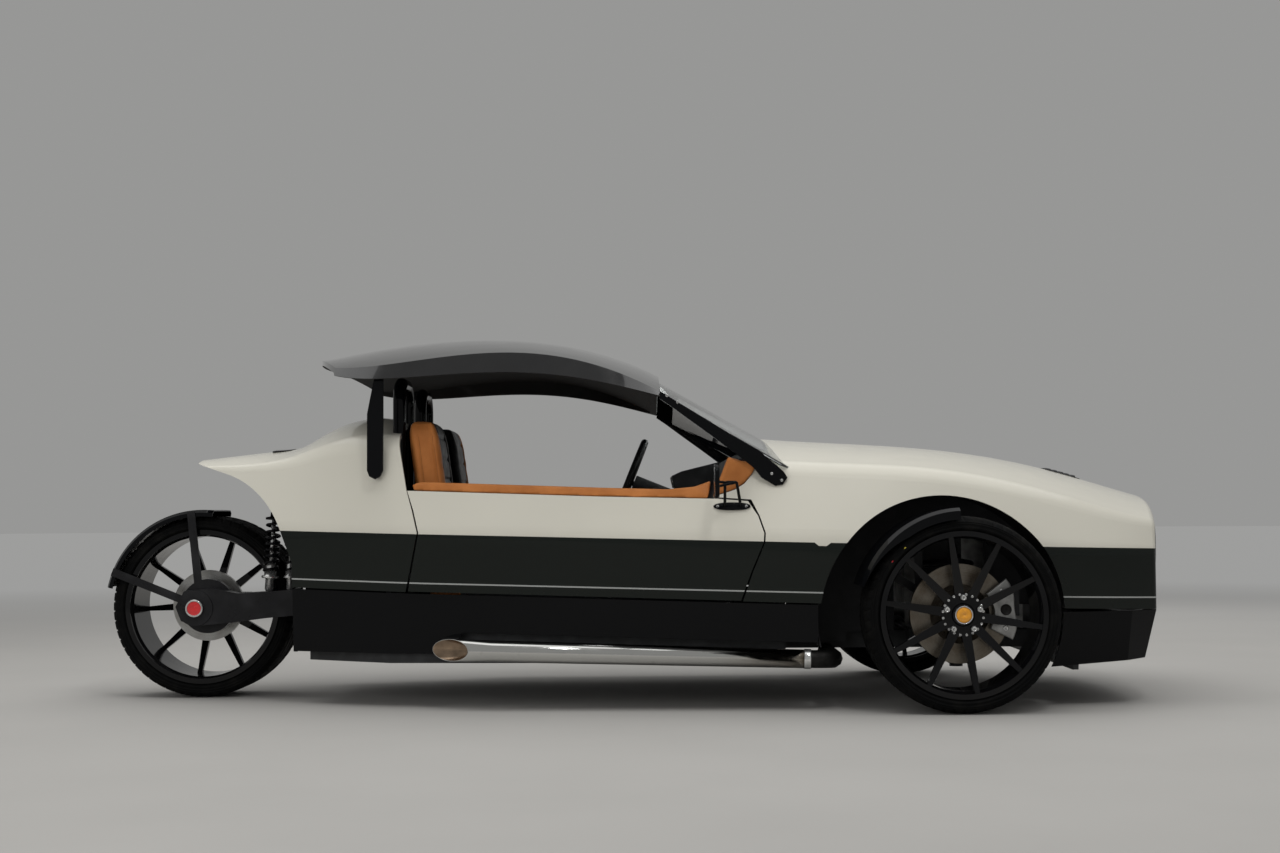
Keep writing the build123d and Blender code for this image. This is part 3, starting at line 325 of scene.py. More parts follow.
def disc_look(name, centre, clean, stained):
    """Turned brake disc: rings left by the pads, and a film of rust."""
    look = Look(name, clean, Metallic=0.9)
    inputs = {"W": look.radius(centre), "Scale": 900.0, "Detail": 3.0}
    rings = look.node("ShaderNodeTexNoise", inputs, noise_dimensions="1D").outputs[0]
    rust = look.ramp(look.noise(22.0, 5.0), 0.35, 0.7)
    worn = look.maths("MULTIPLY", rust, look.ramp(rings, 0.25, 0.6, 0.4, 1.0))
    look.base(worn, clean, stained)
    look.set("Roughness", look.ramp(rings, 0.3, 0.7, 0.24, 0.42))
    look.bump((rings, 0.20, 0.0002), (look.noise(300.0, 3.0), 0.06, 0.0002))
    return look.material


def leather_look(name, colour, deep):
    """Leather: pebbled grain, fine creases, tone that varies, and a shine where it is rubbed."""
    look = Look(name, colour, Specular_IOR_Level=0.15)
    tone = look.noise(11.0, 5.0)
    grain = look.cells(620.0)
    base = look.mix(look.ramp(tone, 0.3, 0.72), colour, deep)
    look.base(look.ramp(grain, 0.35, 0.75, 0.0, 0.35), base, deep)
    look.roughness(look.noise(24.0, 4.0), 0.34, 0.52)
    look.bump((grain, 0.30, 0.0007), (look.noise(75.0, 6.0, (1, 1, 2.2)), 0.30, 0.0012))
    return look.material


def glass_look():
    """Clear glass or lens with a faint film of dust."""
    look = Look("clear_glass", (0.90, 0.95, 0.93), Transmission_Weight=1.0, IOR=1.45,
                Specular_IOR_Level=0.15)
    look.roughness(look.noise(60.0, 5.0), 0.0, 0.015)
    return look.material


def red_lens_look():
    """Red lens with moulded prisms."""
    look = Look("red_lens", RED, Coat_Weight=1.0, Coat_Roughness=0.02)
    prisms = look.cells(260.0, feature="SMOOTH_F1")
    look.base(look.ramp(prisms, 0.2, 0.7), RED, (0.20, 0.002, 0.004))
    look.roughness(look.noise(50.0), 0.10, 0.20)
    look.bump((prisms, 0.5, 0.001))
    return look.material


def enamel_look(name, colour):
    """Bright enamelled cap with a fine orange peel."""
    look = Look(name, colour, Coat_Weight=1.0, Coat_Roughness=0.04)
    peel = look.ramp(look.noise(90.0), 0.35, 0.7)
    look.base(peel, colour, tuple(c * 0.8 for c in colour))
    look.roughness(look.noise(60.0), 0.15, 0.3)
    look.bump((look.noise(600.0, 2.0), 0.05, 0.0003))
    return look.material


def fins_look():
    """Radiator core: fine dark fins between flat tubes, with painted shade as darker stripes in the gaps
    between the fins.
    """
    look = Look("fins", (0.035, 0.035, 0.037), Metallic=0.7)
    _, y, z = look.axes()
    fins = look.maths("PINGPONG", look.maths("MULTIPLY", y, 320.0), 0.5)
    tubes = look.maths("PINGPONG", look.maths("MULTIPLY", z, 62.0), 0.5)
    tube = look.ramp(tubes, 0.10, 0.14, 1.0, 0.0)
    # Dark and lighter stripes across the fins: the darker ones are painted shade in the gaps between fins;
    # the tubes' paler grey is their own colour.
    tone = look.mix(look.ramp(fins, 0.1, 0.4), (0.010, 0.010, 0.011), (0.05, 0.05, 0.052))
    look.base(tube, tone, (0.075, 0.075, 0.078))
    look.roughness(look.noise(50.0), 0.4, 0.6)
    look.bump((fins, 0.5, 0.0015), (tube, 0.4, 0.001))
    return look.material


LOOKS = {
    "body_paint": paint_look(),
    "black_gloss": gloss_look("black_gloss"),
    "roof_gloss": roof_look(),
    "wheel_black": gloss_look("wheel_black", (0.0025, 0.0025, 0.0030), coat=0.5),
    "black_steel": satin_look("black_steel", (0.010, 0.010, 0.011), (0.24, 0.42)),
    "black_plastic": satin_look("black_plastic", (0.014, 0.014, 0.015), (0.45, 0.62), grain=900.0),
    "tub_aluminium": satin_look("tub_aluminium", (0.030, 0.031, 0.032), (0.42, 0.6), grain=700.0),
    "cast_alloy": cast_look("cast_alloy", (0.40, 0.40, 0.39)),
    "chrome_pipe": chrome_look(),
    "tyre_rubber": rubber_look(),
    "tan_leather": leather_look("tan_leather", TAN, TAN_DARK),
    "black_leather": leather_look("black_leather", BLACK_LEATHER, (0.006, 0.006, 0.006)),
    "clear_glass": glass_look(),
    "red_lens": red_lens_look(),
    "red_cap": enamel_look("red_cap", RED),
    "orange_cap": enamel_look("orange_cap", ORANGE),
    "bright_metal": cast_look("bright_metal", (0.80, 0.80, 0.79), (0.10, 0.24)),
    "front_disc": disc_look("front_disc", FRONT_AXLE, (0.20, 0.18, 0.15), (0.11, 0.085, 0.060)),
    "rear_disc": disc_look("rear_disc", REAR_AXLE, (0.46, 0.46, 0.45), (0.30, 0.29, 0.27)),
    "frit": frit_look(),
    "carpet": carpet_look(),
    "fins": fins_look(),
    "mirror_silver": cast_look("mirror_silver", (0.86, 0.87, 0.88), (0.02, 0.04)),
    "dial_white": enamel_look("dial_white", (0.62, 0.62, 0.60)),
    "dot_yellow": enamel_look("dot_yellow", (0.62, 0.50, 0.03)),
    "sooty": cast_look("sooty", (0.030, 0.029, 0.028), (0.35, 0.6)),
    "burnt": cast_look("burnt", (0.36, 0.26, 0.18), (0.05, 0.16)),
    "thread": leather_look("thread", (0.10, 0.055, 0.022), (0.06, 0.03, 0.012)),
}

# Nodes whose look differs from their slot's
OWN_LOOKS = {"steering_wheel": "black_leather", "roof": "roof_gloss",
             "knuckle_right": "black_steel", "knuckle_left": "black_steel"}

for row in frame["record"]["subparts"]:
    name, finish = row["node"], row["material_slot"]
    finish = OWN_LOOKS.get(name, finish)
    if "disc" in name:
        finish = "rear_disc" if name.startswith("rear") else "front_disc"
    mesh = nodes[name].data
    mesh.materials.clear()
    mesh.materials.append(LOOKS[finish])


# Building helpers


def mm(*rows):
    """A table that is given in millimetres, in metres."""
    return [tuple(value / 1000 for value in row) for row in rows]


def linked(name, data):
    """A new object in the scene."""
    obj = bpy.data.objects.new(name, data)
    bpy.context.scene.collection.objects.link(obj)
    return obj


def shade(mesh, smooth):
    """Shade all faces of a mesh smooth or flat."""
    mesh.polygons.foreach_set("use_smooth", [smooth] * len(mesh.polygons))


def mirrored(points, sign):
    """Points of the left side, carried over to the side that sign names."""
    return [Vector((x, sign * y, z)) for x, y, z in points]


def put(name, verts, faces, look, body, smooth=True):
    """A mesh piece from points in the row frame, riding on a body."""
    mesh = bpy.data.meshes.new(name)
    mesh.from_pydata([tuple(v) for v in verts], [], faces)
    mesh.update()
    obj = linked(name, mesh)
    mesh.materials.append(LOOKS[look])
    shade(mesh, smooth)
    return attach(obj, body)


def hub(sign, outward=0.0):
    """The middle of a front wheel, or a point outward of it on its axis."""
    return Vector((FRONT_AXLE.x, sign * (FRONT_AXLE.y + outward), FRONT_AXLE.z))


def band(a, b, count):
    """Faces between two rings of count points that start at a and b."""
    return [(a + i, a + (i + 1) % count, b + (i + 1) % count, b + i) for i in range(count)]


def lathe(profile, centre, axis, segments, closed=True):
    """Points and faces of a profile of (radius, distance along the axis), turned about the axis."""
    axis = Vector(axis).normalized()
    side = axis.orthogonal().normalized()
    up = axis.cross(side)
    verts = []
    for k in range(segments):
        turn = 2 * pi * k / segments
        out = side * cos(turn) + up * sin(turn)
        verts += [centre + out * r + axis * d for r, d in profile]
    count = len(profile)
    faces = []
    last = count if closed else count - 1
    for k in range(segments):
        faces += band(k * count, (k + 1) % segments * count, count)[:last]
    return verts, faces


def turned(name, profile, centre, axis, look, body, segments=64):
    """A turned piece, its profile a closed loop."""
    verts, faces = lathe(profile, Vector(centre), axis, segments)
    return put(name, verts, faces, look, body)


def rod(name, points, radius, look, body, closed=False):
    """A round bar or bead that follows points, as a curve."""
    curve = bpy.data.curves.new(name, "CURVE")
    curve.dimensions = "3D"
    curve.bevel_depth = radius
    curve.bevel_resolution = 3
    curve.resolution_u = 4
    spline = curve.splines.new("NURBS")
    spline.points.add(len(points) - 1)
    for point, place in zip(spline.points, points):
        point.co = (*place, 1.0)
    spline.order_u = 3
    spline.use_endpoint_u = not closed
    spline.use_cyclic_u = closed
    curve.use_fill_caps = True
    curve.materials.append(LOOKS[look])
    obj = linked(name, curve)
    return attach(obj, body)


def stacked(name, rings, look, body, smooth=True):
    """A closed form through rings of equally many points."""
    verts = [p for ring in rings for p in ring]
    count = len(rings[0])
    faces = []
    for first in range(0, len(verts) - count, count):
        faces += band(first, first + count, count)
    faces += [tuple(range(len(verts) - count, len(verts))), tuple(reversed(range(count)))]
    return put(name, verts, faces, look, body, smooth)


def tree_of(obj):
    """A search tree of a piece's faces."""
    faces = [tuple(p.vertices) for p in obj.data.polygons]
    return BVHTree.FromPolygons([v.co for v in obj.data.vertices], faces)


# Tyres

# A sidewall's points. Columns: height above the rim (or below the tread), distance in from the widest point
BEAD = mm((1, 18), (10, 13.5), (14, 6), (17, 0.5), (22, 0.5), (24, 3), (30, 2.2), (30.5, 1.2), (32, 1.2),
          (32.5, 2.5))
SHOULDER = mm((20, 4.5), (19.5, 3.6), (18, 4.2), (17.5, 6), (12, 9.5), (7.5, 15), (4, 22), (2, 32))
GROOVE_PLACES = (0.54, 0.19)      # shares of the half width
GROOVE_STEPS = mm((5.5, 0), (4.5, 1), (3.5, 6.5), (-3.5, 6.5), (-4.5, 1), (-5.5, 0))
PITCHES = 58
STEPS = 10                        # segments in one pitch of the tread
# Cuts over the shoulder and across a rib: depth, how far below the tread's top, place in the half width
SHOULDER_CUT = 0.0045
SHOULDER_REACH = 0.013
SHOULDER_START = 0.60
RIB_CUT = 0.0035
RIB_REACH = 0.003
RIB = (0.24, 0.50)


def tyre_profile(radius, width, rim_radius):
    """Half of a tyre's section from the bead to the middle of the tread, as (radius, y)."""
    half = width / 2
    side = [(rim_radius + rise, half - inset) for rise, inset in BEAD]
    side += [(radius - drop, half - inset) for drop, inset in SHOULDER]
    tread = []
    for share in GROOVE_PLACES:
        middle = half * share
        for step, depth in GROOVE_STEPS:
            tread.append((radius - depth - 0.0004 * (share > 0.4), middle + step))
        tread.append((radius - 0.0002, middle - 0.012))
    return side + tread


def tyre(name, body, centre, size, node):
    """A tyre with grooves round it and slanted cuts across its ribs."""
    radius, width, _ = size
    half_profile = tyre_profile(*size)
    profile = half_profile + [(r, -y) for r, y in reversed(half_profile)]
    verts, faces = lathe(profile, Vector((0, 0, 0)), (0, 1, 0), PITCHES * STEPS)
    count = len(profile)
    half = width / 2
    shaped = []
    for index, vert in enumerate(verts):
        turn, spot = divmod(index, count)
        r, y = profile[spot]
        place = abs(y) / half
        slant = round(place * 9) * (1 if y > 0 else -1)
        phase = (turn + slant) % STEPS
        cut = 0.0
        if radius - SHOULDER_REACH < r and place > SHOULDER_START:
            cut = SHOULDER_CUT * (phase < 2)
        elif radius - RIB_REACH < r and RIB[0] < place < RIB[1]:
            cut = RIB_CUT * (phase in (4, 5))
        shaped.append(centre + vert * ((r - cut) / r) + Vector((0, vert.y * cut / r, 0)))
    piece = put(name, shaped, faces, "tyre_rubber", body)
    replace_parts(piece, node)


for side, sign in SIDES.items():
    tyre(f"tyre_{side}", f"front_wheel_{side}", hub(sign), FRONT_TYRE, f"front_tyre_{side}")
tyre("tyre_back", "rear_wheel", REAR_AXLE, REAR_TYRE, "rear_tyre")


# Wheel centres

CAP_RING = mm((25, 0), (25, 10.5), (26.2, 12.2), (28.5, 11.8), (29.8, 8), (30, 0))
CAP_DOME = mm((0.1, 0), (24.6, 0), (24.8, 9), (22.5, 11.2), (14, 12.6), (0.1, 13.1))
NUT = mm((0.1, 0), (10.5, 0), (10.5, 3.5), (8.8, 4), (8.8, 12), (7, 13.5), (5, 13.5), (4, 10.5),
         (0.1, 10.5))
RIM_SCREW = mm((0.1, 0), (4.6, 0), (4.6, 3), (3.6, 4), (2.2, 4), (1.8, 2.6), (0.1, 2.6))
NUT_CIRCLE = 0.056
SCREW_CIRCLE = 0.0655
SPOKES = 10


def round_places(centre, radius, count, start):
    """Evenly spaced points on a circle about an axis along Y."""
    angles = [2 * pi * n / count + radians(start) for n in range(count)]
    return [centre + Vector((radius * cos(a), 0, radius * sin(a))) for a in angles]


def merged(name, profile, places, axis, look, body, segments):
    """One piece of several like turned forms."""
    verts, faces = [], []
    for place in places:
        more, sides = lathe(profile, Vector(place), axis, segments)
        faces += [tuple(i + len(verts) for i in side) for side in sides]
        verts += more
    return put(name, verts, faces, look, body)


for side, sign in SIDES.items():
    body = f"front_wheel_{side}"
    outward = (0, sign, 0)
    boss = hub(sign, FRONT_HUB_FACE + 0.010)
    turned(f"cap_ring_{side}", CAP_RING, boss, outward, "bright_metal", body)
    turned(f"cap_{side}", CAP_DOME, boss, outward, "orange_cap", body)
    nuts = round_places(hub(sign, FRONT_HUB_FACE + 0.008), NUT_CIRCLE, 5, 90)
    merged(f"wheel_nuts_{side}", NUT, nuts, outward, "bright_metal", body, 12)
    face = hub(sign, FRONT_HUB_FACE)
    screws = [p for start in (9, 27) for p in round_places(face, SCREW_CIRCLE, SPOKES, start)]
    merged(f"rim_screws_{side}", RIM_SCREW, screws, outward, "bright_metal", body, 10)


# Brake calipers and the rear hub's ring

CALIPER_ARC = (-27.0, 38.0)
CALIPER_RADII = (0.104, 0.186)
CALIPER_Y = (0.0345, 0.0470)
CALIPER_BOLTS = (-18.0, 29.0)
WAIST = 0.012
PISTON = mm((0.1, 0), (18, 0), (18, 2.5), (16, 3.5), (15, 2), (6, 1.5), (0.1, 3))
CALIPER_BOLT = mm((0.1, 0), (8.5, 0), (8.5, 5), (7, 6.2), (4.5, 6.2), (4, 4), (0.1, 4))


def build_caliper(side, sign):
    """The outer half of a front caliper: a waisted casting over the disc with two bolts and a piston."""
    centre = hub(sign)
    body = f"knuckle_{side}"
    start, end = CALIPER_ARC
    inner, outer = CALIPER_RADII
    angles = np.linspace(start, end, 27)

    def ring(y, inset):
        points = []
        for share, angle in enumerate(angles):
            waist = WAIST * cos(pi * (share / 26 - 0.5)) ** 4
            narrow = inset * 10
            a = radians(angle * (1 - narrow) + (start + end) / 2 * narrow)
            points.append((inner + inset + waist * 0.3, outer - inset - waist, a))
        loop = [centre + Vector((r * cos(a), sign * y, r * sin(a))) for _, r, a in points]
        return loop + [centre + Vector((r * cos(a), sign * y, r * sin(a))) for r, _, a in reversed(points)]

    near, far = CALIPER_Y
    rings = [ring(near, 0.0), ring(far - 0.003, 0.0), ring(far - 0.0008, 0.0018), ring(far, 0.0045)]
    stacked(f"caliper_{side}", rings, "cast_alloy", body, smooth=False)
    face = hub(sign, far)
    middle = (inner + outer) / 2
    spots = [round_places(face, middle + 0.004, 1, angle)[0] for angle in CALIPER_BOLTS]
    merged(f"caliper_bolts_{side}", CALIPER_BOLT, spots, (0, sign, 0), "bright_metal", body, 12)
    piston = round_places(face, middle, 1, (start + end) / 2)[0]
    turned(f"caliper_piston_{side}", PISTON, piston, (0, sign, 0), "sooty", body, 32)


for side, sign in SIDES.items():
    build_caliper(side, sign)

REAR_CAP_Y = -0.262
REAR_RING = mm((24.5, -0.5), (24.5, 2), (25.6, 3.4), (29, 3.2), (31.2, 1), (31.2, -11), (30.1, -11),
               (30.1, -0.5))
turned("rear_cap_ring", REAR_RING, (REAR_AXLE.x, REAR_CAP_Y, REAR_AXLE.z), (0, -1, 0), "bright_metal", "car")


# Padded leather

PRESSURE = 4.0
SWELL_STEPS = 20
FORM_CUTS = 14
BACK_VOXEL = 0.0075
BACK_CAP = 0.006                  # how far the swelling may move a point
BACK_POWER = 9.0                  # the higher, the squarer the block
BACK_HALF = (0.046, 0.168, 0.385)
BACK_MIDDLE = Vector((-0.640, 0.0, 0.592))
BACK_LEAN = -0.134
BACK_CROSS = (0.36, 0.072)        # start and spacing of the cross seams
BACK_RISE = 0.008                 # how far the bolsters stand out
BASE_VOXEL = 0.009
BASE_CAP = 0.008
BASE_POWER = 7.0
BASE_HALF = (0.235, 0.168, 0.066)
BASE_MIDDLE = Vector((-0.318, 0.0, 0.243))
BASE_LEAN = 0.07
BASE_CROSS = (0.30, 0.066)
BASE_RISE = 0.010
# Voxel, cap and shrinking of the pads that stand for solids
PAD_FORM = (0.005, 0.003, 0.001)
COWL_FORM = (0.004, 0.002, 0.001)
BOLSTER_Y = 0.112
BOLSTER_EDGE = 0.03
CHANNEL = 0.0045
FLANK_LINES = (-0.022, 0.024)
FLANK_STITCHES = (-0.018, 0.028)
SEAM_Y = BOLSTER_Y + 0.006
STITCH_PITCH = 0.0065
STITCH_SIZE = 0.00055


def bake(obj):
    """Give an object its evaluated mesh, with its modifiers applied."""
    graph = bpy.context.evaluated_depsgraph_get()
    mesh = bpy.data.meshes.new_from_object(obj.evaluated_get(graph))
    obj.modifiers.clear()
    obj.data = mesh
    return obj


def points_of(mesh):
    """A mesh's points as an array."""
    flat = np.zeros(len(mesh.vertices) * 3)
    mesh.vertices.foreach_get("co", flat)
    return flat.reshape(-1, 3)


def normals_of(mesh):
    """A mesh's point normals as an array."""
    flat = np.zeros(len(mesh.vertices) * 3)
    mesh.vertex_normals.foreach_get("vector", flat)
    return flat.reshape(-1, 3)


def swell(obj, cap):
    """Blow a closed form up with a short cloth simulation, and hold each point within cap of its start."""
    start = points_of(obj.data)
    cloth = obj.modifiers.new("swell", "CLOTH")
    cloth.settings.use_pressure = True
    cloth.settings.uniform_pressure_force = PRESSURE
    cloth.settings.effector_weights.gravity = 0.0
    for step in range(1, SWELL_STEPS + 1):
        bpy.context.scene.frame_set(step)
    bake(obj)
    moved = points_of(obj.data) - start
    length = np.linalg.norm(moved, axis=1, keepdims=True)
    moved *= np.minimum(1.0, cap / np.maximum(length, 1e-9))
    obj.data.vertices.foreach_set("co", (start + moved).ravel())
    obj.data.update()
    bpy.context.scene.frame_set(1)


def soft(name, mesh, voxel, cap, smoothing=4):
    """A padded piece from a rough closed mesh: remeshed, smoothed, swollen and subdivided once."""
    obj = linked(name, mesh)
    remesh = obj.modifiers.new("remesh", "REMESH")
    remesh.mode = "VOXEL"
    remesh.voxel_size = voxel
    smooth = obj.modifiers.new("smooth", "SMOOTH")
    smooth.iterations = smoothing
    bake(obj)
    swell(obj, cap)
    obj.modifiers.new("round", "SUBSURF").levels = 1
    bake(obj)
    shade(obj.data, True)
    return obj


def rounded_form(name, half, power, cuts):
    """A rounded block about the origin, as a rough closed mesh."""
    shape = bmesh.new()
    bmesh.ops.create_cube(shape, size=2.0)
    bmesh.ops.subdivide_edges(shape, edges=shape.edges[:], cuts=cuts, use_grid_fill=True)
    for vert in shape.verts:
        reach = sum(abs(c) ** power for c in vert.co) ** (1.0 / power)
        vert.co = Vector(c / reach * h for c, h in zip(vert.co, half))
    mesh = bpy.data.meshes.new(name)
    shape.to_mesh(mesh)
    shape.free()
    return mesh


def press(obj, amount):
    """Move each point of a mesh inward by amount, an array of lengths."""
    mesh = obj.data
    mesh.vertices.foreach_set("co", (points_of(mesh) - normals_of(mesh) * amount[:, None]).ravel())
    mesh.update()


def groove(distance, width, depth):
    """Depth of a sewn channel at a distance from its seam."""
    return depth * np.exp(-(distance / width) ** 2)


def stitches(name, route, surface, body):
    """A row of sewn stitches that follows a route over a surface."""
    tree = tree_of(surface)
    verts, faces = [], []
    route = [Vector(p) for p in route]
    for a, b in zip(route, route[1:]):
        count = max(1, int((b - a).length / STITCH_PITCH))
        for n in range(count):
            ends = []
            for share in (n + 0.18, n + 0.82):
                spot, normal, _, _ = tree.find_nearest(a.lerp(b, share / count))
                ends.append((spot + normal * STITCH_SIZE * 0.5, normal))
            (start, normal), (end, _) = ends
            run = (end - start).normalized()
            wide = run.cross(normal).normalized() * STITCH_SIZE
            tall = normal * STITCH_SIZE
            first = len(verts)
            arch = (start, 0.0), (start.lerp(end, 0.25), 1.0), (start.lerp(end, 0.75), 1.0), (end, 0.0)
            for at, lift in arch:
                verts += [at + wide, at + tall * (0.4 + lift), at - wide, at - tall]
            for low in (first, first + 4, first + 8):
                faces += band(low, low + 4, 4)
            faces += [(first + 3, first + 2, first + 1, first), tuple(first + 12 + i for i in range(4))]
    return put(name, verts, faces, "thread", body)


def split_leather(obj, middle_y, outboard):
    """Tan on the outboard flank and bolster, black over the middle and inboard."""
    obj.data.materials.clear()
    obj.data.materials.append(LOOKS["black_leather"])
    obj.data.materials.append(LOOKS["tan_leather"])
    points = points_of(obj.data)
    tan = [int((np.mean(points[list(p.vertices)][:, 1]) - middle_y) * outboard > BOLSTER_Y)
           for p in obj.data.polygons]
    obj.data.polygons.foreach_set("material_index", tan)


def channels(points, face, along, start, spacing):
    """Depth of a cushion's sewn channels: one beside each bolster, and cross seams between them."""
    off = np.abs(points[:, 1]) - BOLSTER_Y
    level = (points[:, along] + start) % spacing - spacing / 2
    return face * groove(off, 0.006, CHANNEL * 1.4) + face * (off < 0) * groove(level, 0.007, CHANNEL)


def bolster(points, face, rise):
    """How far a cushion's bolsters stand out."""
    return face * np.clip((np.abs(points[:, 1]) - BOLSTER_Y) / BOLSTER_EDGE, 0, 1) * rise


def lean(obj, axis, along, slope):
    """Shift a mesh's points on one axis in proportion to their place on another."""
    points = points_of(obj.data)
    points[:, axis] += slope * points[:, along]
    obj.data.vertices.foreach_set("co", points.ravel())
    return obj


def make_back():
    """One backrest about its own middle, its front towards +X."""
    block = rounded_form("back_form", BACK_HALF, BACK_POWER, FORM_CUTS)
    obj = soft("back_form", block, BACK_VOXEL, BACK_CAP, smoothing=2)
    points, normals = points_of(obj.data), normals_of(obj.data)
    front = np.clip(normals[:, 0] * 2, 0, 1)
    flank = np.clip(np.abs(normals[:, 1]) * 2 - 0.6, 0, 1)
    depth = channels(points, front, 2, *BACK_CROSS)
    for line in FLANK_LINES:
        depth += flank * groove(points[:, 0] - line, 0.005, CHANNEL * 0.7)
    press(obj, depth - bolster(points, front, BACK_RISE))
    return lean(obj, 0, 2, BACK_LEAN)


def make_base():
    """One seat cushion about its own middle."""
    block = rounded_form("base_form", BASE_HALF, BASE_POWER, FORM_CUTS)
    obj = soft("base_form", block, BASE_VOXEL, BASE_CAP)
    points, normals = points_of(obj.data), normals_of(obj.data)
    top = np.clip(normals[:, 2] * 2, 0, 1)
    press(obj, channels(points, top, 0, *BASE_CROSS) - bolster(points, top, BASE_RISE))
    return lean(obj, 2, 0, BASE_LEAN)


def seat_routes(middle, outboard):
    """Where the seat's visible seams run, as lists of points."""
    back, base = BACK_MIDDLE, BASE_MIDDLE
    rise = [back + Vector((0.06 + BACK_LEAN * z, middle.y, z)) for z in np.linspace(-0.28, 0.33, 9)]
    fronts = [[p + Vector((0, side * SEAM_Y, 0)) for p in rise] for side in (-1, 1)]
    heights = np.linspace(-0.1, 0.33, 7)
    flank = [[back + Vector((x + BACK_LEAN * z, middle.y + outboard * 0.19, z)) for z in heights]
             for x in FLANK_STITCHES]
    reach = np.linspace(-0.18, 0.2, 7)
    tops = [[base + Vector((x, middle.y + side * SEAM_Y, 0.08 + BASE_LEAN * x)) for x in reach]
            for side in (-1, 1)]
    return fronts + flank, tops


def build_seats():
    """Both seats from one simulated backrest and one simulated cushion."""
    forms = {"back": (make_back(), BACK_MIDDLE), "base": (make_base(), BASE_MIDDLE)}
    for side, sign in SIDES.items():
        middle = Vector((0, sign * SEAT_Y, 0))
        back_routes, base_routes = seat_routes(middle, sign)
        for part, routes in (("back", back_routes), ("base", base_routes)):
            form, place = forms[part]
            obj = linked(f"seat_{part}_{side}", form.data.copy())
            obj.data.transform(Matrix.Translation(place + middle))
            split_leather(obj, middle.y, sign)
            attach(obj, "car")
            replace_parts(obj, "seats")
            for n, route in enumerate(routes):
                stitches(f"seat_{part}_stitch_{side}_{n}", route, obj, "car")
    for form, _ in forms.values():
        bpy.data.objects.remove(form)


def soft_copy(name, node, body, voxel, cap, shrink):
    """A padded leather piece in the place of a CAD node's solids."""
    mesh = nodes[node].data.copy()
    mesh.materials.clear()
    shape = bmesh.new()
    shape.from_mesh(mesh)
    bmesh.ops.remove_doubles(shape, verts=shape.verts[:], dist=0.00005)
    shape.to_mesh(mesh)
    shape.free()
    obj = soft(name, mesh, voxel, cap)
    press(obj, np.full(len(obj.data.vertices), shrink))
    obj.data.materials.append(LOOKS["tan_leather"])
    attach(obj, body)
    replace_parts(obj, node)
    return obj


build_seats()
for side, sign in SIDES.items():
    soft_copy(f"door_pad_leather_{side}", f"door_pad_{side}", f"door_{side}", *PAD_FORM)
soft_copy("cowl_leather", "cowl_trim", "car", *COWL_FORM)


# Rear spring and damper

# Turned parts. Columns: share of the spring's radius, distance from the low end, or if negative from the top
SHOCK_PARTS = {
    "damper": ("bright_metal", [(0.0001, 0.012), (0.42, 0.012), (0.55, 0.020), (0.55, 0.055),
                                (0.64, 0.057), (0.64, 0.064), (0.56, 0.066), (0.56, 0.110),
                                (0.45, 0.114), (0.0001, 0.114)]),
    "collar": ("bright_metal", [(0.58, 0.058), (0.98, 0.058), (1.05, 0.060), (1.05, 0.066), (0.75, 0.068),
                                (0.75, 0.084), (0.58, 0.084)]),
    "shaft": ("bright_metal", [(0.0001, 0.100), (0.26, 0.100), (0.26, -0.040), (0.0001, -0.040)]),
    "cup": ("black_gloss", [(0.0001, -0.046), (1.02, -0.046), (1.05, -0.038), (0.50, -0.034),
                            (0.44, -0.006), (0.0001, -0.004)]),
}
COIL_TURNS = 8
COIL_SPAN = (0.24, 0.84)          # shares of the coil-over's length
WIRE = 0.17                       # the wire's radius as a share of the spring's


def spring_points(low, high, radius, turns, start, end):
    """Points of a coil between two shares of the line from low to high."""
    axis = high - low
    side = axis.orthogonal().normalized()
    up = axis.normalized().cross(side)
    count = turns * 12
    points = []
    for n in range(count + 1):
        share = n / count
        ease = share + 0.018 * sin(2 * pi * share)
        angle = 2 * pi * turns * share
        middle = low + axis * (start + (end - start) * ease)
        points.append(middle + side * radius * cos(angle) + up * radius * sin(angle))
    return points


def build_shock(name, low, high, radius):
    """A rear coil-over: black spring, bright damper and collar, black cup. It returns its spring."""
    length = (high - low).length
    coil = spring_points(low, high, radius - 0.005, COIL_TURNS, *COIL_SPAN)
    spring = rod(f"{name}_spring", coil, radius * WIRE, "black_gloss", "car")
    for part, (look, profile) in SHOCK_PARTS.items():
        sized = [(share * radius, along if along > 0 else length + along) for share, along in profile]
        turned(f"{name}_{part}", sized, low, high - low, look, "car", 48)
    return spring


for name, (low, high, radius) in SHOCKS.items():
    spring = build_shock(f"rear_{name}", low, high, radius)
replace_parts(spring, "rear_shock")


# Lamps

LAMP_Y = 0.430
LAMP_Z = 0.528
REFLECTOR = mm((10, 1676), (30, 1684), (48, 1702), (60, 1728), (66.5, 1768), (67.5, 1768), (61.5, 1727),
               (49, 1700), (31, 1681), (10, 1673))
BULB_SHADE = mm((0.1, 1700), (12, 1702), (17, 1716), (17, 1740), (13, 1752), (0.1, 1756))

for side, sign in SIDES.items():
    place = (0, sign * LAMP_Y, LAMP_Z)
    turned(f"reflector_{side}", REFLECTOR, place, (1, 0, 0), "bright_metal", "car")
    turned(f"bulb_shade_{side}", BULB_SHADE, place, (1, 0, 0), "bright_metal", "car", 32)


# Panels that lie on a surface

ABOVE_ALL = 1.4
PANEL_THICKNESS = 0.0045
SLATS = 5.6
SLAT_RISE = 0.0065


def height_over(tree, x, y, start, down=True):
    """Height of the first face below (or above) a start height."""
    spot, _, _, _ = tree.ray_cast(Vector((x, y, start)), Vector((0, 0, -1 if down else 1)))
    return None if spot is None else spot.z


def on_skin(tree, sign, x, z, lift):
    """The point of a side skin at x and z, moved outward by lift."""
    hit = tree.ray_cast(Vector((x, sign * 1.2, z)), Vector((0, -sign, 0)))[0]
    return hit + Vector((0, sign * lift, 0))


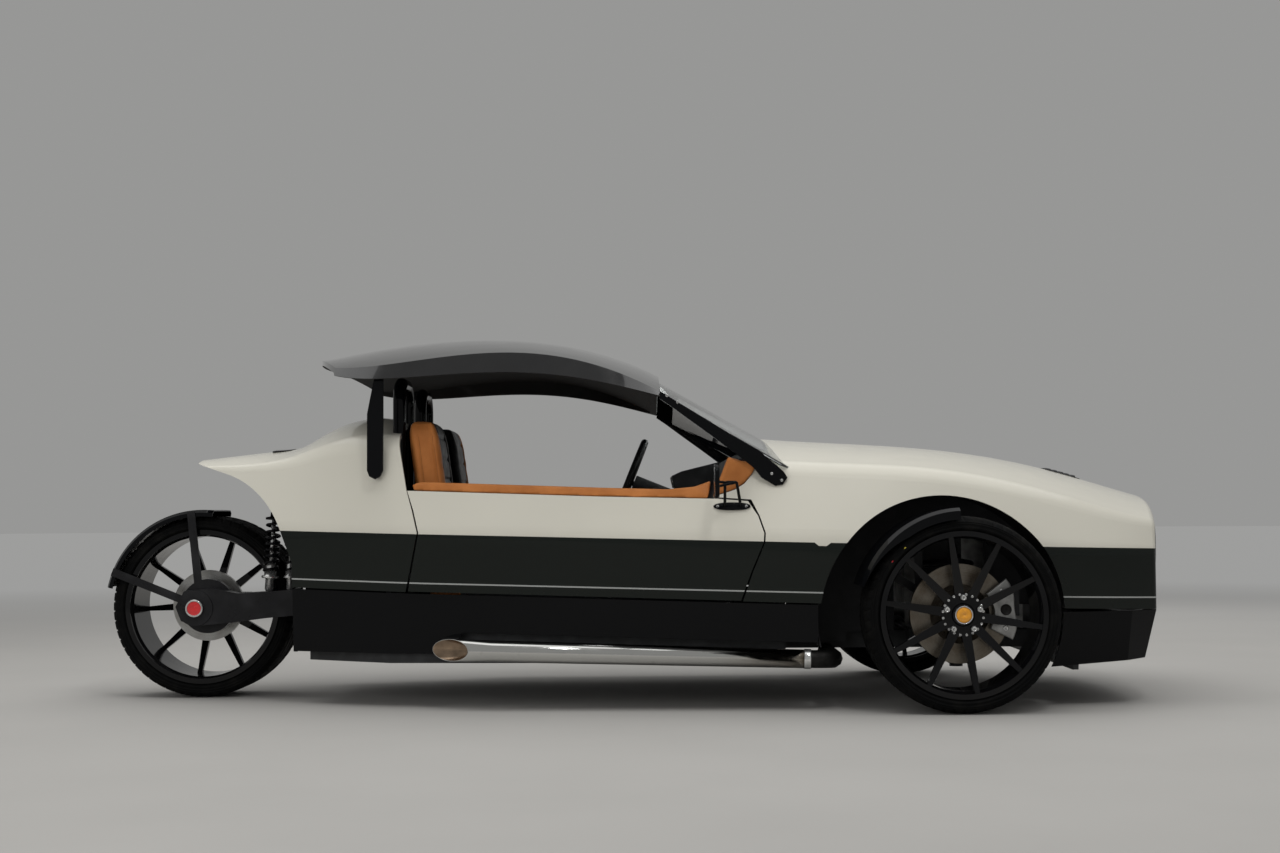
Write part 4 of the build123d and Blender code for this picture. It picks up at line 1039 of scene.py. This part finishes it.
def slab(name, top, thickness, look):
    """A closed slab on the car from a grid of top points, its underside thickness below."""
    rows, columns = len(top), len(top[0])
    verts = [p for row in top for p in row] + [p - Vector((0, 0, thickness)) for row in top for p in row]
    below = rows * columns
    faces = []
    for i in range(rows - 1):
        for j in range(columns - 1):
            a = i * columns + j
            quad = (a, a + 1, a + columns + 1, a + columns)
            faces += [quad, tuple(below + k for k in reversed(quad))]
    rim = [i * columns for i in range(rows)] + [(rows - 1) * columns + j for j in range(1, columns)]
    rim += [i * columns + columns - 1 for i in range(rows - 2, -1, -1)] + list(range(columns - 2, 0, -1))
    faces += [(a, b, below + b, below + a) for a, b in zip(rim, rim[1:] + rim[:1])]
    return put(name, verts, faces, look, "car")


def lying_panel(name, node, xs, ys, lift, look):
    """A panel that follows a node's upper surface, raised by lift(x share, y share)."""
    tree = tree_of(nodes[node])
    grid = []
    for i, x in enumerate(xs):
        row = []
        for j, y in enumerate(ys):
            z = height_over(tree, x, y, ABOVE_ALL)
            row.append(Vector((x, y, z + lift(i / (len(xs) - 1), j / (len(ys) - 1)))))
        grid.append(row)
    return slab(name, grid, PANEL_THICKNESS, look)


def louvre(along, across):
    """Height of a vent panel with slats: a flat border and five ramps inside it."""
    edge = min(along, 1 - along, min(across, 1 - across) * 2.2)
    return 0.0020 if edge < 0.07 else 0.0015 + SLAT_RISE * (along * SLATS % 1.0)


def low_fin(along, _):
    """Height of a flat lip that rises a little to its rear edge."""
    return 0.0025 + 0.0035 * (1 - along)


# Stations of the two panels along x and y
VENT = np.linspace(1.515, 1.635, 61), np.linspace(-0.150, 0.150, 25)
LIP = np.linspace(-1.263, -1.195, 15), np.linspace(-0.130, 0.130, 21)
lying_panel("hood_vent", "nose_body", *VENT, louvre, "black_plastic")
lying_panel("tail_lip", "tail_body", *LIP, low_fin, "black_gloss")


# Windscreen border, rail screws and mirror glass

GLASS_HALF = 0.6655
FRIT_SIDE = 0.014
FRIT_TOP = 0.060
FRIT_THICKNESS = 0.0004
CORNER_X = 0.528
CORNER_CUT = (1.0, 1.1)         # direction across the cut, x and y
SCREEN_REAR_X = 0.1275
UNDER_GLASS = 0.62


def frit_grid(tree, xs, ys):
    """Points just under the glass, where the glass is above them."""
    grid = []
    for x in xs:
        row = []
        for y in ys:
            z = height_over(tree, x, y, UNDER_GLASS, down=False)
            row.append(None if z is None else Vector((x, y, z - 0.0006)))
        if all(p is not None for p in row):
            grid.append(row)
    return grid


def build_frit():
    """The black printed border under the glass at its sides and its top."""
    tree = tree_of(nodes["windscreen"])
    for side, sign in SIDES.items():
        ys = [sign * y for y in np.linspace(GLASS_HALF - FRIT_SIDE, GLASS_HALF - 0.001, 7)]
        grid = frit_grid(tree, np.linspace(SCREEN_REAR_X, 0.420, 40), ys)
        slab(f"screen_border_{side}", grid, FRIT_THICKNESS, "frit")
    inner = GLASS_HALF - FRIT_SIDE - 0.0005
    xs = np.linspace(SCREEN_REAR_X, SCREEN_REAR_X + FRIT_TOP, 7)
    grid = frit_grid(tree, xs, np.linspace(-inner, inner, 60))
    slab("screen_border_top", grid, FRIT_THICKNESS, "frit")


def build_glass():
    """The windscreen, with its two lower corners cut off behind the rails' ends."""
    shape = bmesh.new()
    shape.from_mesh(nodes["windscreen"].data)
    bmesh.ops.remove_doubles(shape, verts=shape.verts[:], dist=0.00002)
    for sign in SIDES.values():
        outward = Vector((CORNER_CUT[0], sign * CORNER_CUT[1], 0)).normalized()
        corner = Vector((CORNER_X, sign * GLASS_HALF, 0))
        everything = shape.verts[:] + shape.edges[:] + shape.faces[:]
        cut = bmesh.ops.bisect_plane(shape, geom=everything, plane_co=corner, plane_no=outward,
                                     clear_outer=True)
        edges = [e for e in cut["geom_cut"] if isinstance(e, bmesh.types.BMEdge)]
        bmesh.ops.contextual_create(shape, geom=edges)
    mesh = bpy.data.meshes.new("screen_glass")
    shape.to_mesh(mesh)
    shape.free()
    obj = linked("screen_glass", mesh)
    mesh.materials.append(LOOKS["clear_glass"])
    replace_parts(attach(obj, "car"), "windscreen")


build_frit()
build_glass()

RAIL_FACE = 0.680
RAIL_SCREWS = mm((495, 779), (528, 757), (150, 1040), (185, 1018))
BUTTON = mm((0.1, 0), (5.2, 0), (5, 1.2), (4, 2.4), (2.2, 2.9), (2, 1.6), (0.1, 1.6))
for side, sign in SIDES.items():
    places = [(x, sign * RAIL_FACE, z) for x, z in RAIL_SCREWS]
    merged(f"rail_screws_{side}", BUTTON, places, (0, sign, 0), "bright_metal", "car", 16)

MIRROR_Y = 0.812
MIRROR_Z = 0.752
MIRROR_X = 0.2994
MIRROR_SIZES = (0.063, 0.056, 0.034)      # half width, half height, corner radius
# Rings of the head and its glass. Columns: x (or depth behind MIRROR_X), inset from the outline
MIRROR_HEAD = mm((302.5, 7.5), (300, 6), (300, 1), (301.2, 0), (308, 0), (312.5, 2.2), (314.8, 6), (315, 12))
MIRROR_GLASS = mm((3, 8), (1.2, 8), (0.6, 9.2))


def rounded_outline(half_y, half_z, corner, steps=8):
    """Points round a rounded rectangle."""
    points = []
    for turn, (sy, sz) in enumerate(((1, 1), (-1, 1), (-1, -1), (1, -1))):
        for n in range(steps + 1):
            angle = pi / 2 * (turn + n / steps)
            y = sy * (half_y - corner) + corner * cos(angle)
            points.append((y, sz * (half_z - corner) + corner * sin(angle)))
    return points


FOOT_MIDDLE = (0.3615, 0.672)
FOOT_HALF = (0.0610, 0.0130)
FOOT_BOLTS = (0.3145, 0.4085)
# Outlines of the foot. Columns: scale, height over the skin
FOOT_RINGS = [(1.0, 0.0002), (1.0, 0.0050), (0.95, 0.0066), (0.80, 0.0074)]
POSTS = mm((338, 700, 670), (337, 738, 710), (336, 772, 745), (337, 777, 750), (357, 777, 750.5),
           (373, 777, 750), (374.5, 772, 745), (383, 738, 710), (390, 702, 670))
POST_RADIUS = 0.0050
ARM_RADIUS = 0.0046
ARMS = [mm((342, 775, 748), (325, 785, 751), (306, 794, 752)),
        mm((366, 775, 748), (338, 788, 743), (306, 796, 735))]


def build_mirror(side, sign):
    """A door mirror: foot draped on the door skin, bent posts, thin head and silvered glass."""
    body = f"door_{side}"

    def head_ring(x, inset):
        outline = rounded_outline(*(size - inset for size in MIRROR_SIZES))
        return [Vector((x, sign * MIRROR_Y + y, MIRROR_Z + z)) for y, z in outline]

    head = [head_ring(x, inset) for x, inset in MIRROR_HEAD]
    housing = stacked(f"mirror_head_{side}", head, "black_gloss", body)
    glass = [head_ring(MIRROR_X + depth, inset) for depth, inset in MIRROR_GLASS]
    stacked(f"mirror_glass_{side}", glass, "mirror_silver", body, smooth=False)
    tree = tree_of(nodes[f"door_{side}"])

    def foot_ring(scale, lift):
        ring = []
        for n in range(48):
            angle = 2 * pi * n / 48
            x, z = (abs(c) ** 0.85 * (1 if c > 0 else -1) for c in (cos(angle), sin(angle)))
            x, z = (m + h * c * scale for m, h, c in zip(FOOT_MIDDLE, FOOT_HALF, (x, z)))
            ring.append(on_skin(tree, sign, x, z, lift))
        return ring

    foot = [foot_ring(scale, lift) for scale, lift in FOOT_RINGS]
    stacked(f"mirror_foot_{side}", foot, "black_gloss", body)
    rod(f"mirror_posts_{side}", mirrored(POSTS, sign), POST_RADIUS, "black_gloss", body)
    for n, arm in enumerate(ARMS):
        rod(f"mirror_arm_{side}_{n}", mirrored(arm, sign), ARM_RADIUS, "black_gloss", body)
    bolts = [on_skin(tree, sign, x, FOOT_MIDDLE[1], 0.0058) for x in FOOT_BOLTS]
    merged(f"mirror_bolts_{side}", BUTTON, bolts, (0, sign, 0), "bright_metal", body, 16)
    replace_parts(housing, f"mirror_{side}")


for side, sign in SIDES.items():
    build_mirror(side, sign)


# Radiator, side pipes and tyre dots

CORE_X = (1.768, 1.786)
CORE_HALF = 0.292
CORE_TOP = 0.556
CORE_HEIGHT = 0.180
core = [[Vector((x, y, CORE_TOP)) for y in (-CORE_HALF, CORE_HALF)] for x in CORE_X]
shade(slab("radiator", core, CORE_HEIGHT, "fins").data, False)

PIPE_REAR = Vector((-0.6400, 0.6295, 0.2020))
PIPE_FRONT = Vector((0.613, 0.686, 0.168))
ELBOW_ROUTE = mm((613, 686, 168), (668, 684, 167), (697, 655, 166), (700, 600, 166), (700, 470, 166),
                 (700, 341, 166))
PIPE_WALL = 0.0025
PIPE_SEGMENTS = 72
HANGERS = (-0.440, 0.490)
STRAP = (0.004, 0.030, 0.066)     # reach outward from the skirt
STRAP_Z = 0.177
TIP_RADIUS = 0.0370
END_RADIUS = 0.0305
BORE_DEPTH = 0.330
SLASH = 0.128
CLAMP = mm((30, -11), (32.2, -11), (32.8, -9), (32.8, 9), (32.2, 11), (30, 11))


def slashed_pipe(side, rear, front, out):
    """A tapering pipe, its rear end cut on a slant so that its opening faces out and back."""
    length = (front - rear).length
    run = (front - rear).normalized()
    out = (out - run * out.dot(run)).normalized()
    up = run.cross(out)
    bore = TIP_RADIUS - PIPE_WALL
    # Columns: radius, distance from the rear end, share of the slant
    sections = [(0.001, length, 0.0), (END_RADIUS, length, 0.0), (TIP_RADIUS - 0.0008, 0.170, 0.3),
                (TIP_RADIUS, 0.003, 1.0), (TIP_RADIUS - 0.0012, 0.0, 1.0), (bore, 0.002, 1.0),
                (bore, 0.150, 0.3), (bore - 0.003, BORE_DEPTH, 0.0), (0.001, BORE_DEPTH, 0.0)]
    rings = []
    for radius, along, slant in sections:
        ring = []
        for k in range(PIPE_SEGMENTS):
            turn = 2 * pi * k / PIPE_SEGMENTS
            shift = slant * SLASH * (1 + cos(turn)) / 2
            ring.append(rear + run * (along + shift) + out * radius * cos(turn) + up * radius * sin(turn))
        rings.append(ring)
    pipe = stacked(f"exhaust_pipe_{side}", rings, "chrome_pipe", "car")
    pipe.data.materials.append(LOOKS["burnt"])
    for face in pipe.data.polygons:
        face.material_index = int(5 * PIPE_SEGMENTS <= face.index < len(pipe.data.polygons) - 1)
    return pipe


def build_pipe(side, sign):
    """A side pipe: slashed and tapering, with a clamp, hangers and a sooty elbow."""
    rear, front = mirrored((PIPE_REAR, PIPE_FRONT), sign)
    pipe = slashed_pipe(side, rear, front, Vector((0, sign, 0)))
    rod(f"exhaust_elbow_{side}", mirrored(ELBOW_ROUTE, sign), END_RADIUS, "sooty", "car")
    turned(f"pipe_clamp_{side}", CLAMP, front.lerp(rear, 0.005), front - rear, "bright_metal", "car", 48)
    for n, x in enumerate(HANGERS):
        skirt = 0.520 + (x + 0.810) / 1.330 * 0.100
        strap = mirrored([(x, skirt + reach, STRAP_Z) for reach in STRAP], sign)
        rod(f"pipe_hanger_{side}_{n}", strap, 0.006, "black_steel", "car")
    return pipe


pipes = [build_pipe(side, sign) for side, sign in SIDES.items()]
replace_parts(pipes[0], "exhausts")

# Black strips just inside the tail's skin, behind its seam with the skirt: painted shadow that keeps the gap
# dark where floor light would show through.
STRIP_X = (-1.090, -0.950)
STRIP_LEVEL = 0.425
STRIP_TOP = 0.418
STRIP_HEIGHT = 0.045
skin = tree_of(nodes["tail_body"])
for side, sign in SIDES.items():
    strip = []
    for x in np.linspace(*STRIP_X, 15):
        backs = [on_skin(skin, sign, x, STRIP_LEVEL, -inset) for inset in (0.016, 0.012)]
        strip.append([Vector((x, back.y, STRIP_TOP)) for back in backs])
    slab(f"seam_shadow_strip_{side}", strip, STRIP_HEIGHT, "frit")

DOT_CIRCLE = 0.289
DOT = mm((0.1, 0), (4.2, 0), (4, 0.5), (0.1, 0.7))
for side, sign in SIDES.items():
    wall = hub(sign, FRONT_TYRE[1] / 2 - 0.0032)
    for name, look, angle in (("yellow", "dot_yellow", 131.0), ("red", "red_cap", 143.0)):
        place = round_places(wall, DOT_CIRCLE, 1, angle)[0]
        turned(f"tyre_dot_{name}_{side}", DOT, place, (0, sign, 0), look, f"front_wheel_{side}", 16)


# Cabin

BINNACLE_FACE = (Vector((0.190, 0, 0.745)), Vector((0.180, 0, 0.790)))
GAUGE_Y = (0.232, 0.398)
GAUGE_RADIUS = 0.0195


def build_gauge(name, y, reading):
    """A round gauge: black dial, ticks, needle and a bright rim."""
    low, high = BINNACLE_FACE
    up = (high - low).normalized()
    out = Vector((-up.z, 0, up.x)).normalized()
    centre = low.lerp(high, 0.5) + Vector((0, y, 0))
    r = GAUGE_RADIUS
    rim = [(r, 0.0), (r + 0.0022, 0.0), (r + 0.0020, 0.0050), (r + 0.0008, 0.0060), (r, 0.0050)]
    dial = [(0.0001, 0.0004), (r, 0.0004), (r, 0.0012), (0.0001, 0.0012)]
    turned(f"{name}_rim", rim, centre, out, "bright_metal", "car", 48)
    turned(f"{name}_dial", dial, centre, out, "black_plastic", "car", 48)
    verts, faces = [], []
    marks = [(n, 0.72, 0.93, 0.0005) for n in range(11)] + [(reading, -0.15, 0.80, 0.0007)]
    for value, inner, outer, half in marks:
        angle = 225 - 27 * value
        along = Vector((0, -cos(radians(angle)), 0)) + up * sin(radians(angle))
        wide = along.cross(out).normalized() * half
        start, end = (centre + out * 0.0016 + along * r * share for share in (inner, outer))
        first = len(verts)
        verts += [start - wide, start + wide, end + wide, end - wide]
        verts += [v - out * 0.0004 for v in verts[first:first + 4]]
        faces += [tuple(first + k for k in quad) for quad in
                  ((0, 1, 2, 3), (7, 6, 5, 4), (0, 4, 5, 1), (1, 5, 6, 2), (2, 6, 7, 3), (3, 7, 4, 0))]
    put(f"{name}_marks", verts, faces, "dial_white", "car", smooth=False)


for n, y in enumerate(GAUGE_Y):
    build_gauge(f"gauge_{n}", y, 2.5 + n)

BOOT = mm((0.1, 0), (46, 0), (47, 4), (36, 12), (38, 17), (27, 26), (29, 31), (18, 43), (20, 48),
          (10.5, 62), (0.1, 63))
LEVER = mm((0.1, 50), (5.2, 50), (4.8, 145), (0.1, 145))
KNOB = mm((0.1, 128), (8, 128), (11, 133), (19, 143), (23.5, 155), (22.5, 168), (16.5, 177), (0.1, 180))
SHIFT = Vector((-0.010, 0.0, 0.390))
SHIFT_LEAN = (-0.12, 0.0, 1.0)
turned("shift_boot", BOOT, SHIFT, SHIFT_LEAN, "black_leather", "car", 56)
turned("shift_lever", LEVER, SHIFT, SHIFT_LEAN, "bright_metal", "car", 24)
turned("shift_knob", KNOB, SHIFT, SHIFT_LEAN, "black_gloss", "car", 40)

BRAKE_PIVOT = Vector((-0.340, 0.040, 0.388))
BRAKE_TIP = Vector((-0.130, 0.040, 0.455))
BRAKE_GRIP = mm((0.1, 90), (10.5, 90), (13, 96), (13.5, 150), (12.5, 205), (9, 214), (0.1, 215))
turned("hand_brake_grip", BRAKE_GRIP, BRAKE_PIVOT, BRAKE_TIP - BRAKE_PIVOT, "black_leather", "car", 32)
arm = [BRAKE_PIVOT.lerp(BRAKE_TIP, share) for share in (0.0, 0.3, 0.6)]
rod("hand_brake_arm", arm, 0.007, "black_steel", "car")

PEDALS = [("clutch", 0.205, 0.052), ("brake", 0.300, 0.060), ("throttle", 0.395, 0.044)]
PEDAL_ARM = mm((402, 300), (425, 380), (470, 470), (516, 500))
for name, y, width in PEDALS:
    pad = []
    for i in range(13):
        share = i / 12
        grip = 0.0022 if i % 3 == 1 and 0 < i < 12 else 0.0
        pad.append([Vector((0.380 + 0.030 * share - grip, y + width * (j / 4 - 0.5), 0.255 + 0.085 * share))
                    for j in range(5)])
    slab(f"pedal_{name}", pad, 0.006, "black_plastic")
    rod(f"pedal_arm_{name}", [(x, y, z) for x, z in PEDAL_ARM], 0.006, "black_steel", "car")

MAT_TOP = 0.1745
MAT_WAVE = 0.0015
MAT_THICKNESS = 0.0035
for side, sign in SIDES.items():
    mat = []
    for x in np.linspace(-0.050, 0.490, 28):
        ys = np.linspace(0.125, 0.520, 20)
        mat.append([Vector((x, sign * y, MAT_TOP + MAT_WAVE * sin(x * 31) * cos(y * 23))) for y in ys])
    slab(f"floor_mat_{side}", mat, MAT_THICKNESS, "carpet")


# Camera, light and stage

SURROUND = (0.31, 0.31, 0.305)
FADE = (3.5, 11.0)              # distances over which the floor turns into the surround
SOFT_LIGHT = 0.38
CAMERA_PLACE = (0.060, -7.0, 0.662)
CAMERA_TILT = 2.50              # degrees, as is the roll
CAMERA_ROLL = -0.356
LENS = 53.7
# Columns: place, point it faces, size, power, whether gloss shows it
LAMPS = {
    "overhead": ((-0.4, -1.5, 5.5), (0, 0, 0.5), (7.0, 4.0), 105, False),
    "ceiling": ((0.0, 0.5, 5.0), (0, 0.5, 0), (9.0, 6.0), 150, True),
    "front": ((-3.0, -6.5, 1.9), (0, 0, 0.7), (4.0, 2.5), 98, False),
    "back": ((3.0, 6.0, 3.5), (0, 0, 0.6), (5.0, 2.5), 92, False),
    "key": ((1.5, -5.0, 6.5), (0, 0, 0.6), (0.7, 0.7), 60, True),
}


def stage_look(name, colour):
    """Pale matt floor with a trace of texture; far off it shows the surround's own grey."""
    look = Look(name, colour, Roughness=0.85, Emission_Color=(*SURROUND, 1.0))
    x, y, _ = look.axes()
    reach = look.length(x, y)
    rays = look.node("ShaderNodeLightPath").outputs
    seen = look.maths("MAXIMUM", rays["Is Camera Ray"], rays["Is Glossy Ray"])
    far = look.maths("MULTIPLY", seen, look.ramp(reach, *FADE))
    pale = look.mix(look.ramp(look.noise(1.3, 6.0), 0.3, 0.7), colour, tuple(c * 0.95 for c in colour))
    look.base(far, pale, (0.0, 0.0, 0.0))
    look.set("Emission Strength", far)
    look.bump((look.noise(90.0, 6.0), 0.05, 0.002))
    return look.material


def build_stage():
    """A round pale floor below the car."""
    ring = [(0.001, 0.0), (3.0, 0.0), (12.0, 0.0), (60.0, 0.0)]
    verts, faces = lathe(ring, Vector((0, 0, -0.0005)), (0, 0, 1), 96, closed=False)
    mesh = bpy.data.meshes.new("floor")
    mesh.from_pydata([tuple(v) for v in verts], [], faces)
    floor = linked("floor", mesh)
    mesh.materials.append(stage_look("floor", FLOOR))


def build_world():
    """A pale surround: soft light, and a calm pale background for camera, gloss and glass."""
    world = bpy.data.worlds.new("studio")
    bpy.context.scene.world = world
    world.use_nodes = True
    tree = world.node_tree
    light = tree.nodes["Background"]
    light.inputs["Color"].default_value = (1.0, 1.0, 1.0, 1.0)
    light.inputs["Strength"].default_value = SOFT_LIGHT
    seen = tree.nodes.new("ShaderNodeBackground")
    seen.inputs["Color"].default_value = (*SURROUND, 1.0)
    rays = tree.nodes.new("ShaderNodeLightPath").outputs
    looking = rays["Is Camera Ray"]
    for kind in ("Is Glossy Ray", "Is Transmission Ray"):
        either = tree.nodes.new("ShaderNodeMath")
        either.operation = "MAXIMUM"
        tree.links.new(looking, either.inputs[0])
        tree.links.new(rays[kind], either.inputs[1])
        looking = either.outputs[0]
    mixed = tree.nodes.new("ShaderNodeMixShader")
    for socket, source in zip(mixed.inputs, (looking, light.outputs[0], seen.outputs[0])):
        tree.links.new(source, socket)
    tree.links.new(mixed.outputs[0], tree.nodes["World Output"].inputs["Surface"])


def lamp(name, place, target, size, power, glossy):
    """A soft rectangular lamp that faces a point."""
    data = bpy.data.lights.new(name, "AREA")
    data.shape = "RECTANGLE"
    data.size, data.size_y = size
    data.energy = power
    obj = linked(name, data)
    obj.location = place
    obj.visible_glossy = glossy
    obj.rotation_euler = (Vector(target) - Vector(place)).to_track_quat("-Z", "Y").to_euler()


def build_camera():
    """The photograph's viewpoint: level with the body side, square to the car."""
    data = bpy.data.cameras.new("camera")
    data.lens = LENS
    data.sensor_width = 36.0
    camera = linked("camera", data)
    tilt = Matrix.Rotation(radians(90.0 + CAMERA_TILT), 4, "X")
    roll = Matrix.Rotation(radians(CAMERA_ROLL), 4, "Z")
    camera.matrix_world = Matrix.Translation(CAMERA_PLACE) @ tilt @ roll
    bpy.context.scene.camera = camera


bpy.context.scene.view_settings.view_transform = "Standard"
build_stage()
build_world()
for name, values in LAMPS.items():
    lamp(name, *values)
build_camera()
